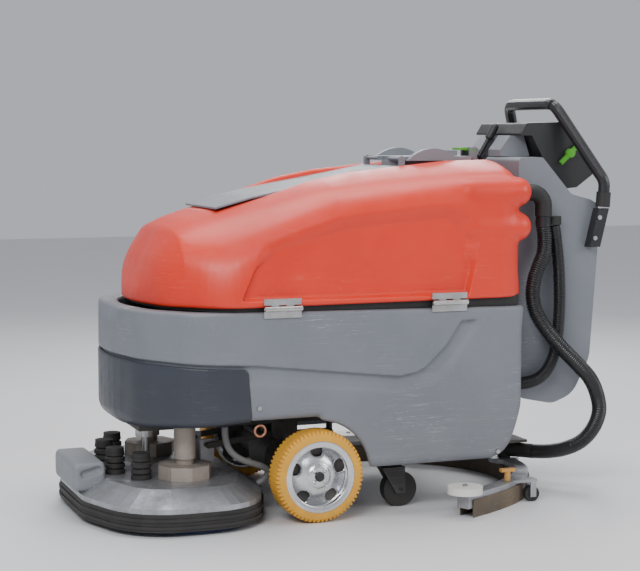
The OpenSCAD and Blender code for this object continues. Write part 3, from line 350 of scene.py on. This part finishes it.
def make_worn_surface():
    """Colour patches, dust from above, dirt near the floor, thin scratches and a fine grain."""
    group, net, given, made = new_group("worn_surface", [
        ("Colour", COLOUR, (0.5, 0.5, 0.5, 1)), ("Patches", COLOUR, (0.4, 0.4, 0.4, 1)),
        ("Scratch Colour", COLOUR, (0.7, 0.7, 0.7, 1)), ("Dust Colour", COLOUR, (0.32, 0.29, 0.25, 1)),
        ("Patch Scale", NUMBER, 4.0), ("Grain Scale", NUMBER, 700.0), ("Scratches", NUMBER, 0.5),
        ("Dust", NUMBER, 0.2), ("Low Dirt", NUMBER, 0.3),
        ("Roughness", NUMBER, 0.45), ("Roughness Spread", NUMBER, 0.15)],
        [("Colour", COLOUR), ("Roughness", NUMBER), ("Height", NUMBER)])
    place_at = net.add("ShaderNodeTexCoord").outputs["Object"]
    geometry = net.add("ShaderNodeNewGeometry")
    patches = net.noise(place_at, given["Patch Scale"], 5, 0.6)
    colour = net.mix(net.ramp(patches, 0.38, 0.66), given["Colour"], given["Patches"])
    # long scratches along the machine, and short ones at random
    lines = net.noise(net.stretched(place_at, (1.4, 1.4, 46)), 3.1, 3, 0.5, 0.35)
    long_ones = net.ramp(net.math("ABSOLUTE", net.math("SUBTRACT", lines, 0.52)), 0.0, 0.009, 1, 0)
    short = net.noise(net.stretched(place_at, (26, 26, 9)), 4.3, 2, 0.5, 1.3)
    short_ones = net.ramp(net.math("ABSOLUTE", net.math("SUBTRACT", short, 0.5)), 0.0, 0.010, 0.8, 0)
    where = net.ramp(net.noise(place_at, 3.3, 3, 0.6), 0.50, 0.66)
    where_short = net.ramp(net.noise(place_at, 5.9, 3, 0.6), 0.56, 0.70)
    scratch = net.math("MAXIMUM", net.math("MULTIPLY", long_ones, where),
                       net.math("MULTIPLY", short_ones, where_short))
    scratch = net.math("MULTIPLY", scratch, given["Scratches"], True)
    colour = net.mix(scratch, colour, given["Scratch Colour"])
    up = net.add("ShaderNodeSeparateXYZ", {"Vector": geometry.outputs["Normal"]}).outputs["Z"]
    height = net.add("ShaderNodeSeparateXYZ", {"Vector": place_at}).outputs["Z"]
    cloud = net.noise(place_at, 17, 6, 0.65)
    dust = net.math("MULTIPLY", net.ramp(up, 0.3, 1.0),
                    net.math("MULTIPLY", net.ramp(cloud, 0.35, 0.75), given["Dust"]))
    low = net.math("MULTIPLY", net.ramp(height, 0.42, 0.02),
                   net.math("MULTIPLY", net.ramp(cloud, 0.3, 0.7), given["Low Dirt"]))
    cover = net.math("ADD", dust, low, True)
    colour = net.mix(cover, colour, given["Dust Colour"])
    rough = net.math("ADD", given["Roughness"],
                     net.math("MULTIPLY", net.ramp(cloud, 0.3, 0.7, -0.5, 0.5), given["Roughness Spread"]))
    rough = net.math("ADD", rough, net.math("MULTIPLY", net.math("ADD", cover, scratch), 0.3), True)
    grain = net.noise(place_at, given["Grain Scale"], 2, 0.5)
    relief = net.math("SUBTRACT", grain, net.math("MULTIPLY", scratch, 0.8))
    for label, value in (("Colour", colour), ("Roughness", rough), ("Height", relief)):
        group.links.new(value, made[label])
    return group


worn_surface = make_worn_surface()


def finish(name, colour, patches=None, metal=0.0, coat=0.0, bump=0.1, **values):
    """A material whose colour, roughness and relief come from the worn surface group."""
    material = bpy.data.materials.new(name)
    material.use_nodes = True
    net = Net(material.node_tree)
    shader = material.node_tree.nodes["Principled BSDF"]
    patches = patches or tuple(c * 0.82 for c in colour)
    named = {"Colour": (*colour, 1), "Patches": (*patches, 1)}
    for key, value in values.items():
        label = key.replace("_", " ").title()
        named[label] = (*value, 1) if isinstance(value, tuple) else value
    surface = net.add("ShaderNodeGroup", node_tree=worn_surface)
    for label, value in named.items():
        surface.inputs[label].default_value = value
    links = material.node_tree.links
    links.new(surface.outputs["Colour"], shader.inputs["Base Color"])
    links.new(surface.outputs["Roughness"], shader.inputs["Roughness"])
    relief = net.add("ShaderNodeBump", {"Height": surface.outputs["Height"], "Strength": bump,
                                        "Distance": GRAIN_DEPTH})
    links.new(relief.outputs["Normal"], shader.inputs["Normal"])
    shader.inputs["Metallic"].default_value = metal
    if coat:
        shader.inputs["Coat Weight"].default_value = coat
        shader.inputs["Coat Roughness"].default_value = 0.25
    return material


RED = finish("tank_shell", (0.76, 0.034, 0.010), (0.66, 0.026, 0.008), coat=0.10, bump=0.25, scratches=0.35,
             scratch_colour=(0.88, 0.30, 0.20), dust=0.10, low_dirt=0.0, roughness=0.42, grain_scale=420.0,
             patch_scale=2.4)
GREY = finish("base_shell", (0.185, 0.198, 0.222), (0.155, 0.168, 0.190), bump=0.35, scratches=0.8,
              scratch_colour=(0.46, 0.47, 0.49), dust=0.25, low_dirt=0.35, roughness=0.50, grain_scale=520.0,
              patch_scale=3.0, dust_colour=(0.22, 0.20, 0.18))
COVER = finish("dark_cover", (0.034, 0.040, 0.054), (0.028, 0.033, 0.045), bump=0.25, scratches=0.5,
               scratch_colour=(0.16, 0.17, 0.20), dust=0.15, low_dirt=0.25, roughness=0.40,
               dust_colour=(0.10, 0.09, 0.08))
MID_GREY = finish("grey_plastic", (0.20, 0.215, 0.24), (0.18, 0.195, 0.22), bump=0.3, scratches=0.35,
                  scratch_colour=(0.4, 0.42, 0.45), dust=0.25, low_dirt=0.3, roughness=0.5)
BLACK = finish("black_plastic", (0.014, 0.014, 0.016), (0.018, 0.018, 0.020), bump=0.5, scratches=0.25,
               scratch_colour=(0.10, 0.10, 0.11), dust=0.25, low_dirt=0.2, roughness=0.48,
               dust_colour=(0.10, 0.095, 0.09), grain_scale=900.0)
RAIL = finish("black_steel", (0.010, 0.010, 0.012), (0.014, 0.014, 0.016), coat=0.25, bump=0.2, scratches=0.3,
              scratch_colour=(0.12, 0.12, 0.13), dust=0.15, low_dirt=0.0, roughness=0.38)
RUBBER = finish("black_rubber", (0.012, 0.012, 0.012), (0.020, 0.019, 0.018), bump=0.5, scratches=0.3,
                scratch_colour=(0.07, 0.065, 0.06), dust=0.4, low_dirt=0.35, roughness=0.62,
                dust_colour=(0.09, 0.08, 0.07), grain_scale=300.0)
HOSE = finish("hose_black", (0.012, 0.012, 0.014), (0.018, 0.018, 0.020), bump=0.2, scratches=0.1,
              scratch_colour=(0.10, 0.10, 0.10), dust=0.2, low_dirt=0.15, roughness=0.30,
              dust_colour=(0.12, 0.115, 0.11))
HOSE_GREY = finish("hose_grey", (0.16, 0.165, 0.175), (0.12, 0.125, 0.13), bump=0.2, scratches=0.2, dust=0.3,
                   low_dirt=0.4, roughness=0.42)
FRAME = finish("frame_steel", (0.022, 0.022, 0.025), (0.035, 0.030, 0.026), metal=0.0, bump=0.4, scratches=0.4,
               scratch_colour=(0.16, 0.13, 0.11), dust=0.4, low_dirt=0.5, roughness=0.55)
ZINC = finish("zinc_steel", (0.62, 0.62, 0.62), (0.48, 0.47, 0.45), metal=1.0, bump=0.25, scratches=0.5,
              scratch_colour=(0.8, 0.8, 0.8), dust=0.2, low_dirt=0.5, roughness=0.33, patch_scale=20.0,
              dust_colour=(0.16, 0.13, 0.10))
ALLOY = finish("rim_alloy", (0.80, 0.81, 0.83), (0.66, 0.67, 0.69), metal=1.0, bump=0.2, scratches=0.4,
               scratch_colour=(0.9, 0.9, 0.9), dust=0.1, low_dirt=0.35, roughness=0.24, patch_scale=24.0,
               dust_colour=(0.20, 0.18, 0.16))
CASTING = finish("deck_alloy", (0.46, 0.47, 0.50), (0.38, 0.39, 0.41), metal=0.75, bump=0.8, scratches=0.8,
                 scratch_colour=(0.85, 0.85, 0.87), dust=0.25, low_dirt=0.5, roughness=0.36, patch_scale=9.0,
                 grain_scale=260.0, dust_colour=(0.12, 0.11, 0.10))
TYRE = finish("tyre_rubber", (0.80, 0.40, 0.028), (0.70, 0.33, 0.024), bump=0.5, scratches=0.35,
              scratch_colour=(0.30, 0.15, 0.05), dust=0.2, low_dirt=0.30, roughness=0.55, patch_scale=14.0,
              dust_colour=(0.16, 0.11, 0.07), grain_scale=240.0)
BLADE = finish("blade_rubber", (0.075, 0.060, 0.045), (0.20, 0.14, 0.08), bump=0.3, scratches=0.3, dust=0.2,
               low_dirt=0.4, roughness=0.6, dust_colour=(0.10, 0.08, 0.06))
GREEN = finish("green_plastic", (0.10, 0.42, 0.030), (0.08, 0.34, 0.025), coat=0.15, bump=0.25, scratches=0.4,
               scratch_colour=(0.4, 0.6, 0.3), dust=0.15, low_dirt=0.0, roughness=0.38)
YELLOW = finish("yellow_plastic", (0.78, 0.36, 0.012), (0.62, 0.28, 0.010), coat=0.1, bump=0.3, scratches=0.4,
                scratch_colour=(0.5, 0.3, 0.1), dust=0.2, low_dirt=0.4, roughness=0.42)
WHITE = finish("white_plastic", (0.80, 0.79, 0.76), (0.70, 0.68, 0.64), bump=0.2, scratches=0.4,
               scratch_colour=(0.4, 0.38, 0.34), dust=0.3, low_dirt=0.22, roughness=0.36)
MOTOR = finish("motor_paint", (0.40, 0.35, 0.30), (0.32, 0.27, 0.23), metal=0.3, bump=0.3, scratches=0.5,
               scratch_colour=(0.5, 0.42, 0.38), dust=0.3, low_dirt=0.5, roughness=0.5,
               dust_colour=(0.10, 0.08, 0.07))
BATTERY = finish("battery_case", (0.05, 0.05, 0.055), bump=0.4, roughness=0.5, dust_colour=(0.11, 0.105, 0.10))
BRISTLE = finish("bristle", (0.03, 0.07, 0.26), (0.02, 0.05, 0.18), bump=0.8, roughness=0.5, grain_scale=400.0)
COPPER = finish("copper_ring", (0.50, 0.22, 0.12), (0.30, 0.14, 0.09), metal=0.9, bump=0.4, scratches=0.5,
                roughness=0.42, patch_scale=50.0)

BY_SLOT = {
    "tank_shell": RED, "base_shell": GREY, "dark_cover": COVER, "grey_plastic": MID_GREY, "black_plastic": BLACK,
    "black_steel": RAIL, "black_rubber": RUBBER, "hose_black": HOSE, "hose_grey": HOSE_GREY, "frame_steel": FRAME,
    "zinc_steel": ZINC, "rim_alloy": ALLOY, "deck_alloy": CASTING, "tyre_rubber": TYRE, "blade_rubber": BLADE,
    "green_plastic": GREEN, "yellow_plastic": YELLOW, "white_plastic": WHITE, "motor_paint": MOTOR,
    "battery_case": BATTERY, "bristle": BRISTLE, "copper_ring": COPPER,
}
for part in frame["record"]["subparts"]:
    node = frame["nodes"][part["node"]]
    for slot in node.material_slots:
        slot.material = BY_SLOT[part["material_slot"]]

# ---------------------------------------------------------------- hoses


def metres(points):
    return np.array(points, float) / 1000


def corrugated(name, route, diameter, pitch, depth, cuffs, sides=22):
    """Hose mesh with ribs, smooth within the cuff lengths at its two ends."""
    per_rib = 6
    path = smooth_curve(route, pitch / per_rib)
    run = np.concatenate([[0], np.cumsum(np.linalg.norm(np.diff(path, axis=0), axis=1))])
    wave = 0.5 - 0.5 * np.cos(2 * np.pi * run / pitch)
    ribbed = (run > cuffs[0]) & (run < run[-1] - cuffs[1])
    radii = np.where(ribbed, diameter / 2 - depth * (1 - wave) ** 1.5, diameter / 2)
    return swept_tube(name, path, radii, sides), smooth_curve(route, 0.008)


SUCTION_ROUTE = metres([
    (552, -282, 819), (552, -283, 792), (554, -287, 758), (550, -291, 715), (534, -291, 675), (520, -291, 635),
    (516, -291, 590), (526, -298, 540), (556, -309, 490), (600, -313, 440), (652, -309, 392), (704, -294, 344),
    (744, -266, 292), (766, -244, 236), (764, -214, 180), (742, -180, 134), (708, -142, 108), (672, -106, 96),
    (640, -72, 92)])
DRAIN_ROUTE = metres([
    (594, -266, 790), (600, -267, 760), (606, -268, 720), (611, -269, 670), (614, -269, 615), (615, -269, 560),
    (613, -268, 505), (608, -268, 455), (598, -268, 410), (578, -268, 372), (550, -268, 348), (518, -268, 338),
    (486, -268, 336), (452, -268, 336)])
SOLUTION_ROUTE = metres([
    (-398, -250, 262), (-398, -250, 240), (-394, -250, 216), (-384, -250, 194), (-366, -249, 176),
    (-342, -247, 162), (-316, -244, 152), (-290, -240, 142), (-270, -232, 128), (-268, -222, 112),
    (-276, -212, 98), (-290, -205, 87)])
SUCTION_D, DRAIN_D, SOLUTION_D = 0.044, 0.036, 0.018

suction_hose, suction_path = corrugated("suction_hose_ribbed", SUCTION_ROUTE, SUCTION_D, 0.0065, 0.0032,
                                        (0.030, 0.130))
place(suction_hose, ROOT, HOSE, ["suction_hose"])
drain_hose, drain_path = corrugated("drain_hose_ribbed", DRAIN_ROUTE, DRAIN_D, 0.0056, 0.0028, (0.035, 0.030))
place(drain_hose, ROOT, HOSE, ["drain_hose"])
solution_path = smooth_curve(SOLUTION_ROUTE, 0.006)
solution_hose = swept_tube("solution_hose_tube", solution_path, np.full(len(solution_path), SOLUTION_D / 2), 16)
place(solution_hose, ROOT, HOSE_GREY, ["solution_hose"])

# ---------------------------------------------------------------- main sizes from the frame

base_low, base_high = (np.array(v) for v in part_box("base_housing"))
tank_low, tank_high = (np.array(v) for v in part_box("recovery_tank"))
# NOSE is where the front corner of the plan would be before its rounding
NOSE, REAR, HALF = base_low[0] - 0.018, base_high[0], base_high[1]
SEAM = base_high[2] + 0.002
TOP = tank_high[2] + 0.002
FLOOR = tank_low[2]
AXLE = (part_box("tyre_left")[0][0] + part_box("tyre_left")[1][0]) / 2
WHEEL_R = (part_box("tyre_left")[1][0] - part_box("tyre_left")[0][0]) / 2


def plan_outline(front, back, w, rear_r):
    return arcs([(front, 0, 0.5), (front + 0.06, -w * 0.62, 0.16), (front + 0.19, -w, 0.17), (back, -w, rear_r),
                 (back, w, rear_r), (front + 0.19, w, 0.17), (front + 0.06, w * 0.62, 0.16)])

# ---------------------------------------------------------------- recovery tank

TANK_SIDE = arcs([
    (NOSE + 0.072, FLOOR - 0.011, 0.008), (REAR - 0.004, FLOOR - 0.006, 0.008), (REAR, TOP - 0.002, 0.046),
    (REAR - 0.180, TOP - 0.006, 0), (NOSE + 0.700, TOP - 0.033, 0), (NOSE + 0.560, TOP - 0.062, 0),
    (NOSE + 0.406, TOP - 0.108, 0), (NOSE + 0.216, TOP - 0.164, 0.2), (NOSE + 0.168, TOP - 0.190, 0.05),
    (NOSE + 0.128, TOP - 0.263, 0.3)])
TANK_PLAN = plan_outline(NOSE + 0.070, REAR, HALF, 0.085)
RECESS = arcs([
    (NOSE + 0.309, FLOOR + 0.006, 0.006), (REAR - 0.186, FLOOR + 0.004, 0.006), (REAR - 0.142, TOP - 0.190, 0.06),
    (REAR - 0.240, TOP - 0.124, 0.12), (NOSE + 0.619, TOP - 0.150, 0.3), (NOSE + 0.385, TOP - 0.212, 0.06)])
INLAY_X = np.array([NOSE + 0.304, NOSE + 0.407, NOSE + 0.555, NOSE + 0.705, NOSE + 0.859, REAR - 0.040])
INLAY_Z = TOP - np.array([0.140, 0.113, 0.084, 0.058, 0.030, 0.016])
SHOULDER_X = np.array([NOSE - 0.2, NOSE + 0.180, NOSE + 0.600, REAR - 0.160, REAR + 0.2])
SHOULDER_Z = TOP - np.array([0.620, 0.195, 0.050, 0.007, 0.004])
MOUTH = (REAR - 0.205, 0.095)


def shoulder(x, y, z, lean, from_y):
    pivot = TOP - 0.060
    line = np.interp(x, SHOULDER_X, SHOULDER_Z)
    a = math.radians(lean)
    return (z - pivot) * math.cos(a) + (np.abs(y) - from_y) * math.sin(a) - (line - pivot)


def soft_step(t):
    t = np.clip(t, 0, 1)
    return t * t * (3 - 2 * t)


def tank_field(x, y, z):
    inner = -outline_distance(RECESS, x, z)
    width = 0.010 + 0.030 * soft_step((z - (TOP - 0.30)) / 0.05)
    depth = 0.022 * np.clip(inner / width, 0, 1)
    round_k = 0.010 + 0.022 * soft_step((z - FLOOR) / 0.08)
    tank = both(outline_distance(TANK_SIDE, x, z), outline_distance(TANK_PLAN, x, y) + depth, round_k)
    tank = both(tank, shoulder(x, y, z, 24, HALF * 0.60), 0.050)
    tank = both(tank, shoulder(x, y, z, 54, HALF * 0.86), 0.060)
    for centre in (TOP - 0.095, TOP - 0.193):
        lobe = capsule(x, np.abs(y), z, (REAR - 0.17, HALF - 0.041, centre), (REAR - 0.022, HALF - 0.041, centre),
                       0.039, 0.041)
        tank = either(tank, lobe, 0.012)
    sunk = both(np.abs(y) - 0.150, np.interp(x, INLAY_X, INLAY_Z) - z, 0.010)
    sunk = both(sunk, NOSE + 0.290 - x, 0.010)
    tank = less(tank, sunk, 0.012)
    mouth = both(np.hypot(x - MOUTH[0], y) - MOUTH[1], TOP - 0.30 - z, 0.02)
    return less(tank, mouth, 0.006)


tank_shell = shell_piece("tank_shell", tank_field, tank_low - 0.012, tank_high, 0.0055)
place(tank_shell, "tank", RED, ["recovery_tank"])

# ---------------------------------------------------------------- base

BASE_PLAN = plan_outline(NOSE, REAR, HALF, 0.044)
BASE_SIDE = arcs([
    (NOSE + 0.040, SEAM - 0.002, 0.014), (NOSE - 0.003, SEAM - 0.119, 0.05), (NOSE + 0.008, SEAM - 0.140, 0.006),
    (NOSE + 0.004, 0.288, 0.020), (NOSE + 0.046, 0.264, 0.010), (AXLE - 0.190, 0.284, 0), (AXLE, 0.286, 0),
    (AXLE + 0.02, 0.134, 0), (REAR - 0.066, 0.134, 0.090), (REAR - 0.002, SEAM - 0.300, 0.060),
    (REAR, SEAM - 0.016, 0.014)])
GROOVE = arcs([
    (NOSE + 0.020, SEAM - 0.150, 0), (NOSE + 0.346, SEAM - 0.178, 0), (REAR - 0.397, SEAM - 0.219, 0.060),
    (REAR - 0.270, SEAM - 0.190, 0.090), (REAR - 0.170, SEAM - 0.050, 0.010), (REAR - 0.210, SEAM - 0.049, 0.006),
    (REAR - 0.256, SEAM - 0.117, 0.060), (REAR - 0.330, SEAM - 0.186, 0.080), (REAR - 0.397, SEAM - 0.197, 0.040),
    (NOSE + 0.346, SEAM - 0.148, 0), (NOSE + 0.020, SEAM - 0.130, 0)])
BELOW_GROOVE = np.array([
    (NOSE - 0.1, SEAM - 0.146), (NOSE + 0.346, SEAM - 0.163), (REAR - 0.397, SEAM - 0.208),
    (REAR - 0.30, SEAM - 0.188), (REAR - 0.233, SEAM - 0.119), (REAR - 0.19, SEAM - 0.0495),
    (REAR + 0.1, SEAM - 0.05), (REAR + 0.1, 0),
    (NOSE - 0.1, 0)])
ARCH_R, ARCH_INNER_Y = WHEEL_R + 0.024, 0.150
COVER_ZONE = arcs([(NOSE - 0.04, 0.240, 0), (NOSE + 0.345, 0.240, 0), (NOSE + 0.331, SEAM - 0.158, 0.016),
                   (NOSE - 0.04, SEAM - 0.136, 0)])


def edge_round(z):
    return 0.010 + 0.020 * soft_step((SEAM - 0.02 - z) / 0.08)


def base_form(x, y, z):
    return both(outline_distance(BASE_SIDE, x, z), outline_distance(BASE_PLAN, x, y), edge_round(z))


def flank_depth(x, z):
    out = outline_distance(GROOVE, x, z)
    below = outline_distance(BELOW_GROOVE, x, z) < 0
    crisp = np.clip(-out / 0.005, 0, 1)
    bevel = np.clip(1 - np.maximum(out, 0) / 0.026, 0, 1)
    return 0.013 * np.where(below, np.maximum(crisp, bevel), crisp)


def base_field(x, y, z):
    base = both(outline_distance(BASE_SIDE, x, z), outline_distance(BASE_PLAN, x, y) + flank_depth(x, z),
                edge_round(z))
    seat = np.clip(-outline_distance(COVER_ZONE, x, z) / 0.003, 0, 1) * 0.007
    base = both(base, base_form(x, y, z) + seat, 0.004)
    arch = both(np.hypot(x - AXLE, z - WHEEL_R) - ARCH_R, ARCH_INNER_Y - np.abs(y), 0.01)
    base = less(base, arch, 0.012)
    skirt = 0.018
    under = box_distance(x, y, z, (AXLE - 0.190, -HALF + skirt, -1), (REAR - 0.028, HALF - skirt, 0.284))
    base = less(base, under, 0.008)
    front = both(outline_distance(BASE_PLAN, x, y) + skirt + 0.004, z - 0.344, 0.01)
    front = both(front, x - (AXLE - 0.180), 0.006)
    base = less(base, front, 0.008)
    well = both(outline_distance(BASE_PLAN, x, y) + 0.060, 0.45 - z, 0.02)
    return less(base, well, 0.012)


base_shell = shell_piece("base_shell", base_field, base_low, base_high, 0.0055)
place(base_shell, ROOT, GREY, ["base_housing"])


def cover_field(x, y, z):
    form = base_form(x, y, z)
    skin = both(form - 0.0005, -(form + 0.013), 0.004)
    return both(skin, outline_distance(COVER_ZONE, x, z) + 0.0012, 0.005)


cover_low, cover_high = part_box("front_cover")
front_cover = shell_piece("front_cover_skin", cover_field, (NOSE - 0.01, cover_low[1], 0.235), cover_high, 0.0036)
place(front_cover, ROOT, COVER, ["front_cover"])

# ---------------------------------------------------------------- drive wheels


RIM_SHARE, FACE_INSET = 0.795, 0.012
TEETH, STEPS_PER_TOOTH, TOOTH_DEPTH = 64, 6, 0.0052
SPOKES, SPOKE_TURN, BOLT_CIRCLE = 5, 0.32, 0.021


def wheel_pieces(side, y_sign):
    """Toothed tyre and a recessed spoked rim, in the place of the CAD wheel."""
    low, high = (np.array(v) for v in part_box("tyre_" + side))
    cx, cz, r = (low[0] + high[0]) / 2, (low[2] + high[2]) / 2, (high[0] - low[0]) / 2
    y_in, y_out = (high[1], low[1]) if y_sign < 0 else (low[1], high[1])
    half = abs(y_out - y_in) / 2
    mid = (y_in + y_out) / 2
    rim_r = r * RIM_SHARE
    steps = TEETH * STEPS_PER_TOOTH
    # tread profile: distance across the tyre, radius and how deep the tooth gaps cut
    profile = [(-half, rim_r - 0.002, 0), (-half, rim_r + 0.006, 0), (-half + 0.002, r - 0.010, 0.2),
               (-half + 0.007, r - 0.002, 1), (-half + 0.016, r, 1), (-half + 0.022, r, 0.1),
               (0, r, 0.1), (half - 0.022, r, 0.1), (half - 0.016, r, 1), (half - 0.007, r - 0.002, 1),
               (half - 0.002, r - 0.010, 0.2), (half, rim_r + 0.006, 0), (half, rim_r - 0.002, 0)]
    points, faces = [], []
    for i in range(steps):
        a = 2 * math.pi * i / steps
        cut = TOOTH_DEPTH if i % STEPS_PER_TOOTH < 2 else 0.0
        for across, radius, share in profile:
            q = radius - cut * share
            points.append((cx + q * math.cos(a), mid + across, cz + q * math.sin(a)))
    n = len(profile)
    for i in range(steps):
        j = (i + 1) % steps
        for k in range(n):
            m = (k + 1) % n
            faces.append((i * n + k, i * n + m, j * n + m, j * n + k))
    tyre = sharpen(mesh_piece("tyre_" + side + "_treaded", points, faces), 30)
    place(tyre, "drive_" + side, TYRE, ["tyre_" + side])

    out = y_sign
    face_y = y_out - out * FACE_INSET

    def rim_field(x, y, z):
        radial = np.hypot(x - cx, z - cz)
        angle = np.arctan2(z - cz, x - cx)
        depth = (face_y - y) * out
        barrel = both(np.abs(radial - (rim_r - 0.006)) - 0.0055, np.abs(y - mid) - half + 0.002, 0.004)
        lip = both(np.abs(radial - (rim_r - 0.010)) - 0.010, np.abs(depth + 0.004) - 0.005, 0.004)
        # spokes: a dished disc, cut by rounded windows
        dish = 0.010 + 0.020 * soft_step((radial - 0.030) / 0.055)
        disc = both(np.abs(depth - dish) - 0.006, radial - (rim_r - 0.004), 0.004)
        share = 2 * math.pi / SPOKES
        around = (angle - SPOKE_TURN + share / 2) % share - share / 2
        px, py = radial * np.cos(around) - 0.068, radial * np.sin(around)
        half_width = 0.003 + 0.14 * (px + 0.02)
        window = np.hypot(np.maximum(np.abs(px) - 0.004, 0), np.maximum(np.abs(py) - half_width, 0)) - 0.0105
        disc = less(disc, window, 0.007)
        hub = both(radial - 0.030, np.abs(depth - 0.013) - 0.014, 0.006)
        rim = either(either(barrel, lip, 0.004), either(disc, hub, 0.008), 0.006)
        for k in range(4):
            a = math.pi / 4 + k * math.pi / 2
            bolt = both(np.hypot(x - cx - BOLT_CIRCLE * math.cos(a), z - cz - BOLT_CIRCLE * math.sin(a)) - 0.0042,
                        np.abs(depth + 0.001) - 0.004, 0.001)
            rim = either(rim, bolt, 0.001)
        return rim

    rim_low = (cx - rim_r, min(y_in, y_out), cz - rim_r)
    rim_high = (cx + rim_r, max(y_in, y_out), cz + rim_r)
    rim = shell_piece("wheel_" + side + "_spoked", rim_field, rim_low, rim_high, 0.0026)
    place(rim, "drive_" + side, ALLOY, ["wheel_" + side])
    cap = lathed("hub_cap_" + side, [(0.0135, 0), (0.0135, 0.004), (0.011, 0.007), (0.006, 0.008)],
                 (cx, face_y, cz), (0, out, 0), 24)
    place(sharpen(cap), "drive_" + side, BLACK)
    dark = lathed("hub_shadow_" + side, [(rim_r - 0.012, 0), (rim_r - 0.012, 0.004)],
                  (cx, mid - out * 0.006, cz), (0, out, 0), 40)
    place(sharpen(dark), "drive_" + side, FRAME)


wheel_pieces("left", -1)
wheel_pieces("right", 1)

# ---------------------------------------------------------------- brush deck

DECK_LOW, DECK_HIGH = (np.array(v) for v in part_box("bumper_block"))


def bumper_field(x, y, z):
    """Rounded bumper block with a moulded dimple on each cheek."""
    low, high = DECK_LOW, DECK_HIGH
    mid = (low + high) / 2
    block = both(both(low[0] - x, x - high[0], 0.012), both(np.abs(y - mid[1]) - (high[1] - low[1]) / 2,
                                                          both(low[2] - z, z - high[2], 0.012), 0.016), 0.016)
    for s in (-1, 1):
        dimple = capsule(x, y, z, (low[0] + 0.030, s * high[1], high[2] - 0.030),
                         (high[0] - 0.022, s * high[1], high[2] - 0.020), 0.010, 0.010)
        block = less(block, dimple, 0.006)
    return block


bumper = shell_piece("bumper_moulded", bumper_field, DECK_LOW, DECK_HIGH, 0.003)
place(bumper, "deck", MID_GREY, ["bumper_block"])

# ---------------------------------------------------------------- caster forks

FORK = finish("fork_steel", (0.10, 0.10, 0.105), (0.06, 0.058, 0.056), metal=0.6, bump=0.3, scratches=0.5,
              scratch_colour=(0.4, 0.4, 0.4), dust=0.3, low_dirt=0.6, roughness=0.5, dust_colour=(0.07, 0.06, 0.05))
for fork in ("caster_fork_left", "caster_fork_right"):
    for slot in frame["nodes"][fork].material_slots:
        slot.material = FORK

# ---------------------------------------------------------------- floor, light and finish


def make_floor():
    points = [(-9, -6, 0), (9, -6, 0), (9, 12, 0), (-9, 12, 0)]
    floor = mesh_piece("floor", points, [(0, 1, 2, 3)], smooth=False)
    material = bpy.data.materials.new("floor")
    material.use_nodes = True
    net = Net(material.node_tree)
    shader = material.node_tree.nodes["Principled BSDF"]
    at = net.add("ShaderNodeTexCoord").outputs["Object"]
    tone = net.mix(net.noise(at, 2.0, 5), (0.74, 0.74, 0.75, 1), (0.68, 0.68, 0.69, 1))
    material.node_tree.links.new(tone, shader.inputs["Base Color"])
    shader.inputs["Roughness"].default_value = 0.55
    floor.data.materials.append(material)


def area_light(name, location, target, size, power):
    data = bpy.data.lights.new(name, "AREA")
    data.shape = "RECTANGLE"
    data.size, data.size_y = size
    data.energy = power
    light = bpy.data.objects.new(name, data)
    light.location = location
    light.rotation_euler = (Vector(target) - Vector(location)).to_track_quat("-Z", "Y").to_euler()
    bpy.context.scene.collection.objects.link(light)


make_floor()
area_light("key", (-2.6, -3.4, 3.4), (0, 0, 0.5), (2.6, 1.6), 150)
area_light("fill", (3.4, -3.0, 2.4), (0.1, 0, 0.5), (2.4, 2.0), 60)
area_light("top", (0.2, 0.4, 3.8), (0, 0, 0.4), (3.2, 2.0), 110)
area_light("back", (1.6, 3.2, 2.6), (0.1, 0, 0.7), (2.0, 1.4), 60)
world = bpy.data.worlds.new("room")
world.use_nodes = True
world.node_tree.nodes["Background"].inputs["Color"].default_value = (0.90, 0.93, 1.0, 1)
world.node_tree.nodes["Background"].inputs["Strength"].default_value = 0.55
bpy.context.scene.world = world
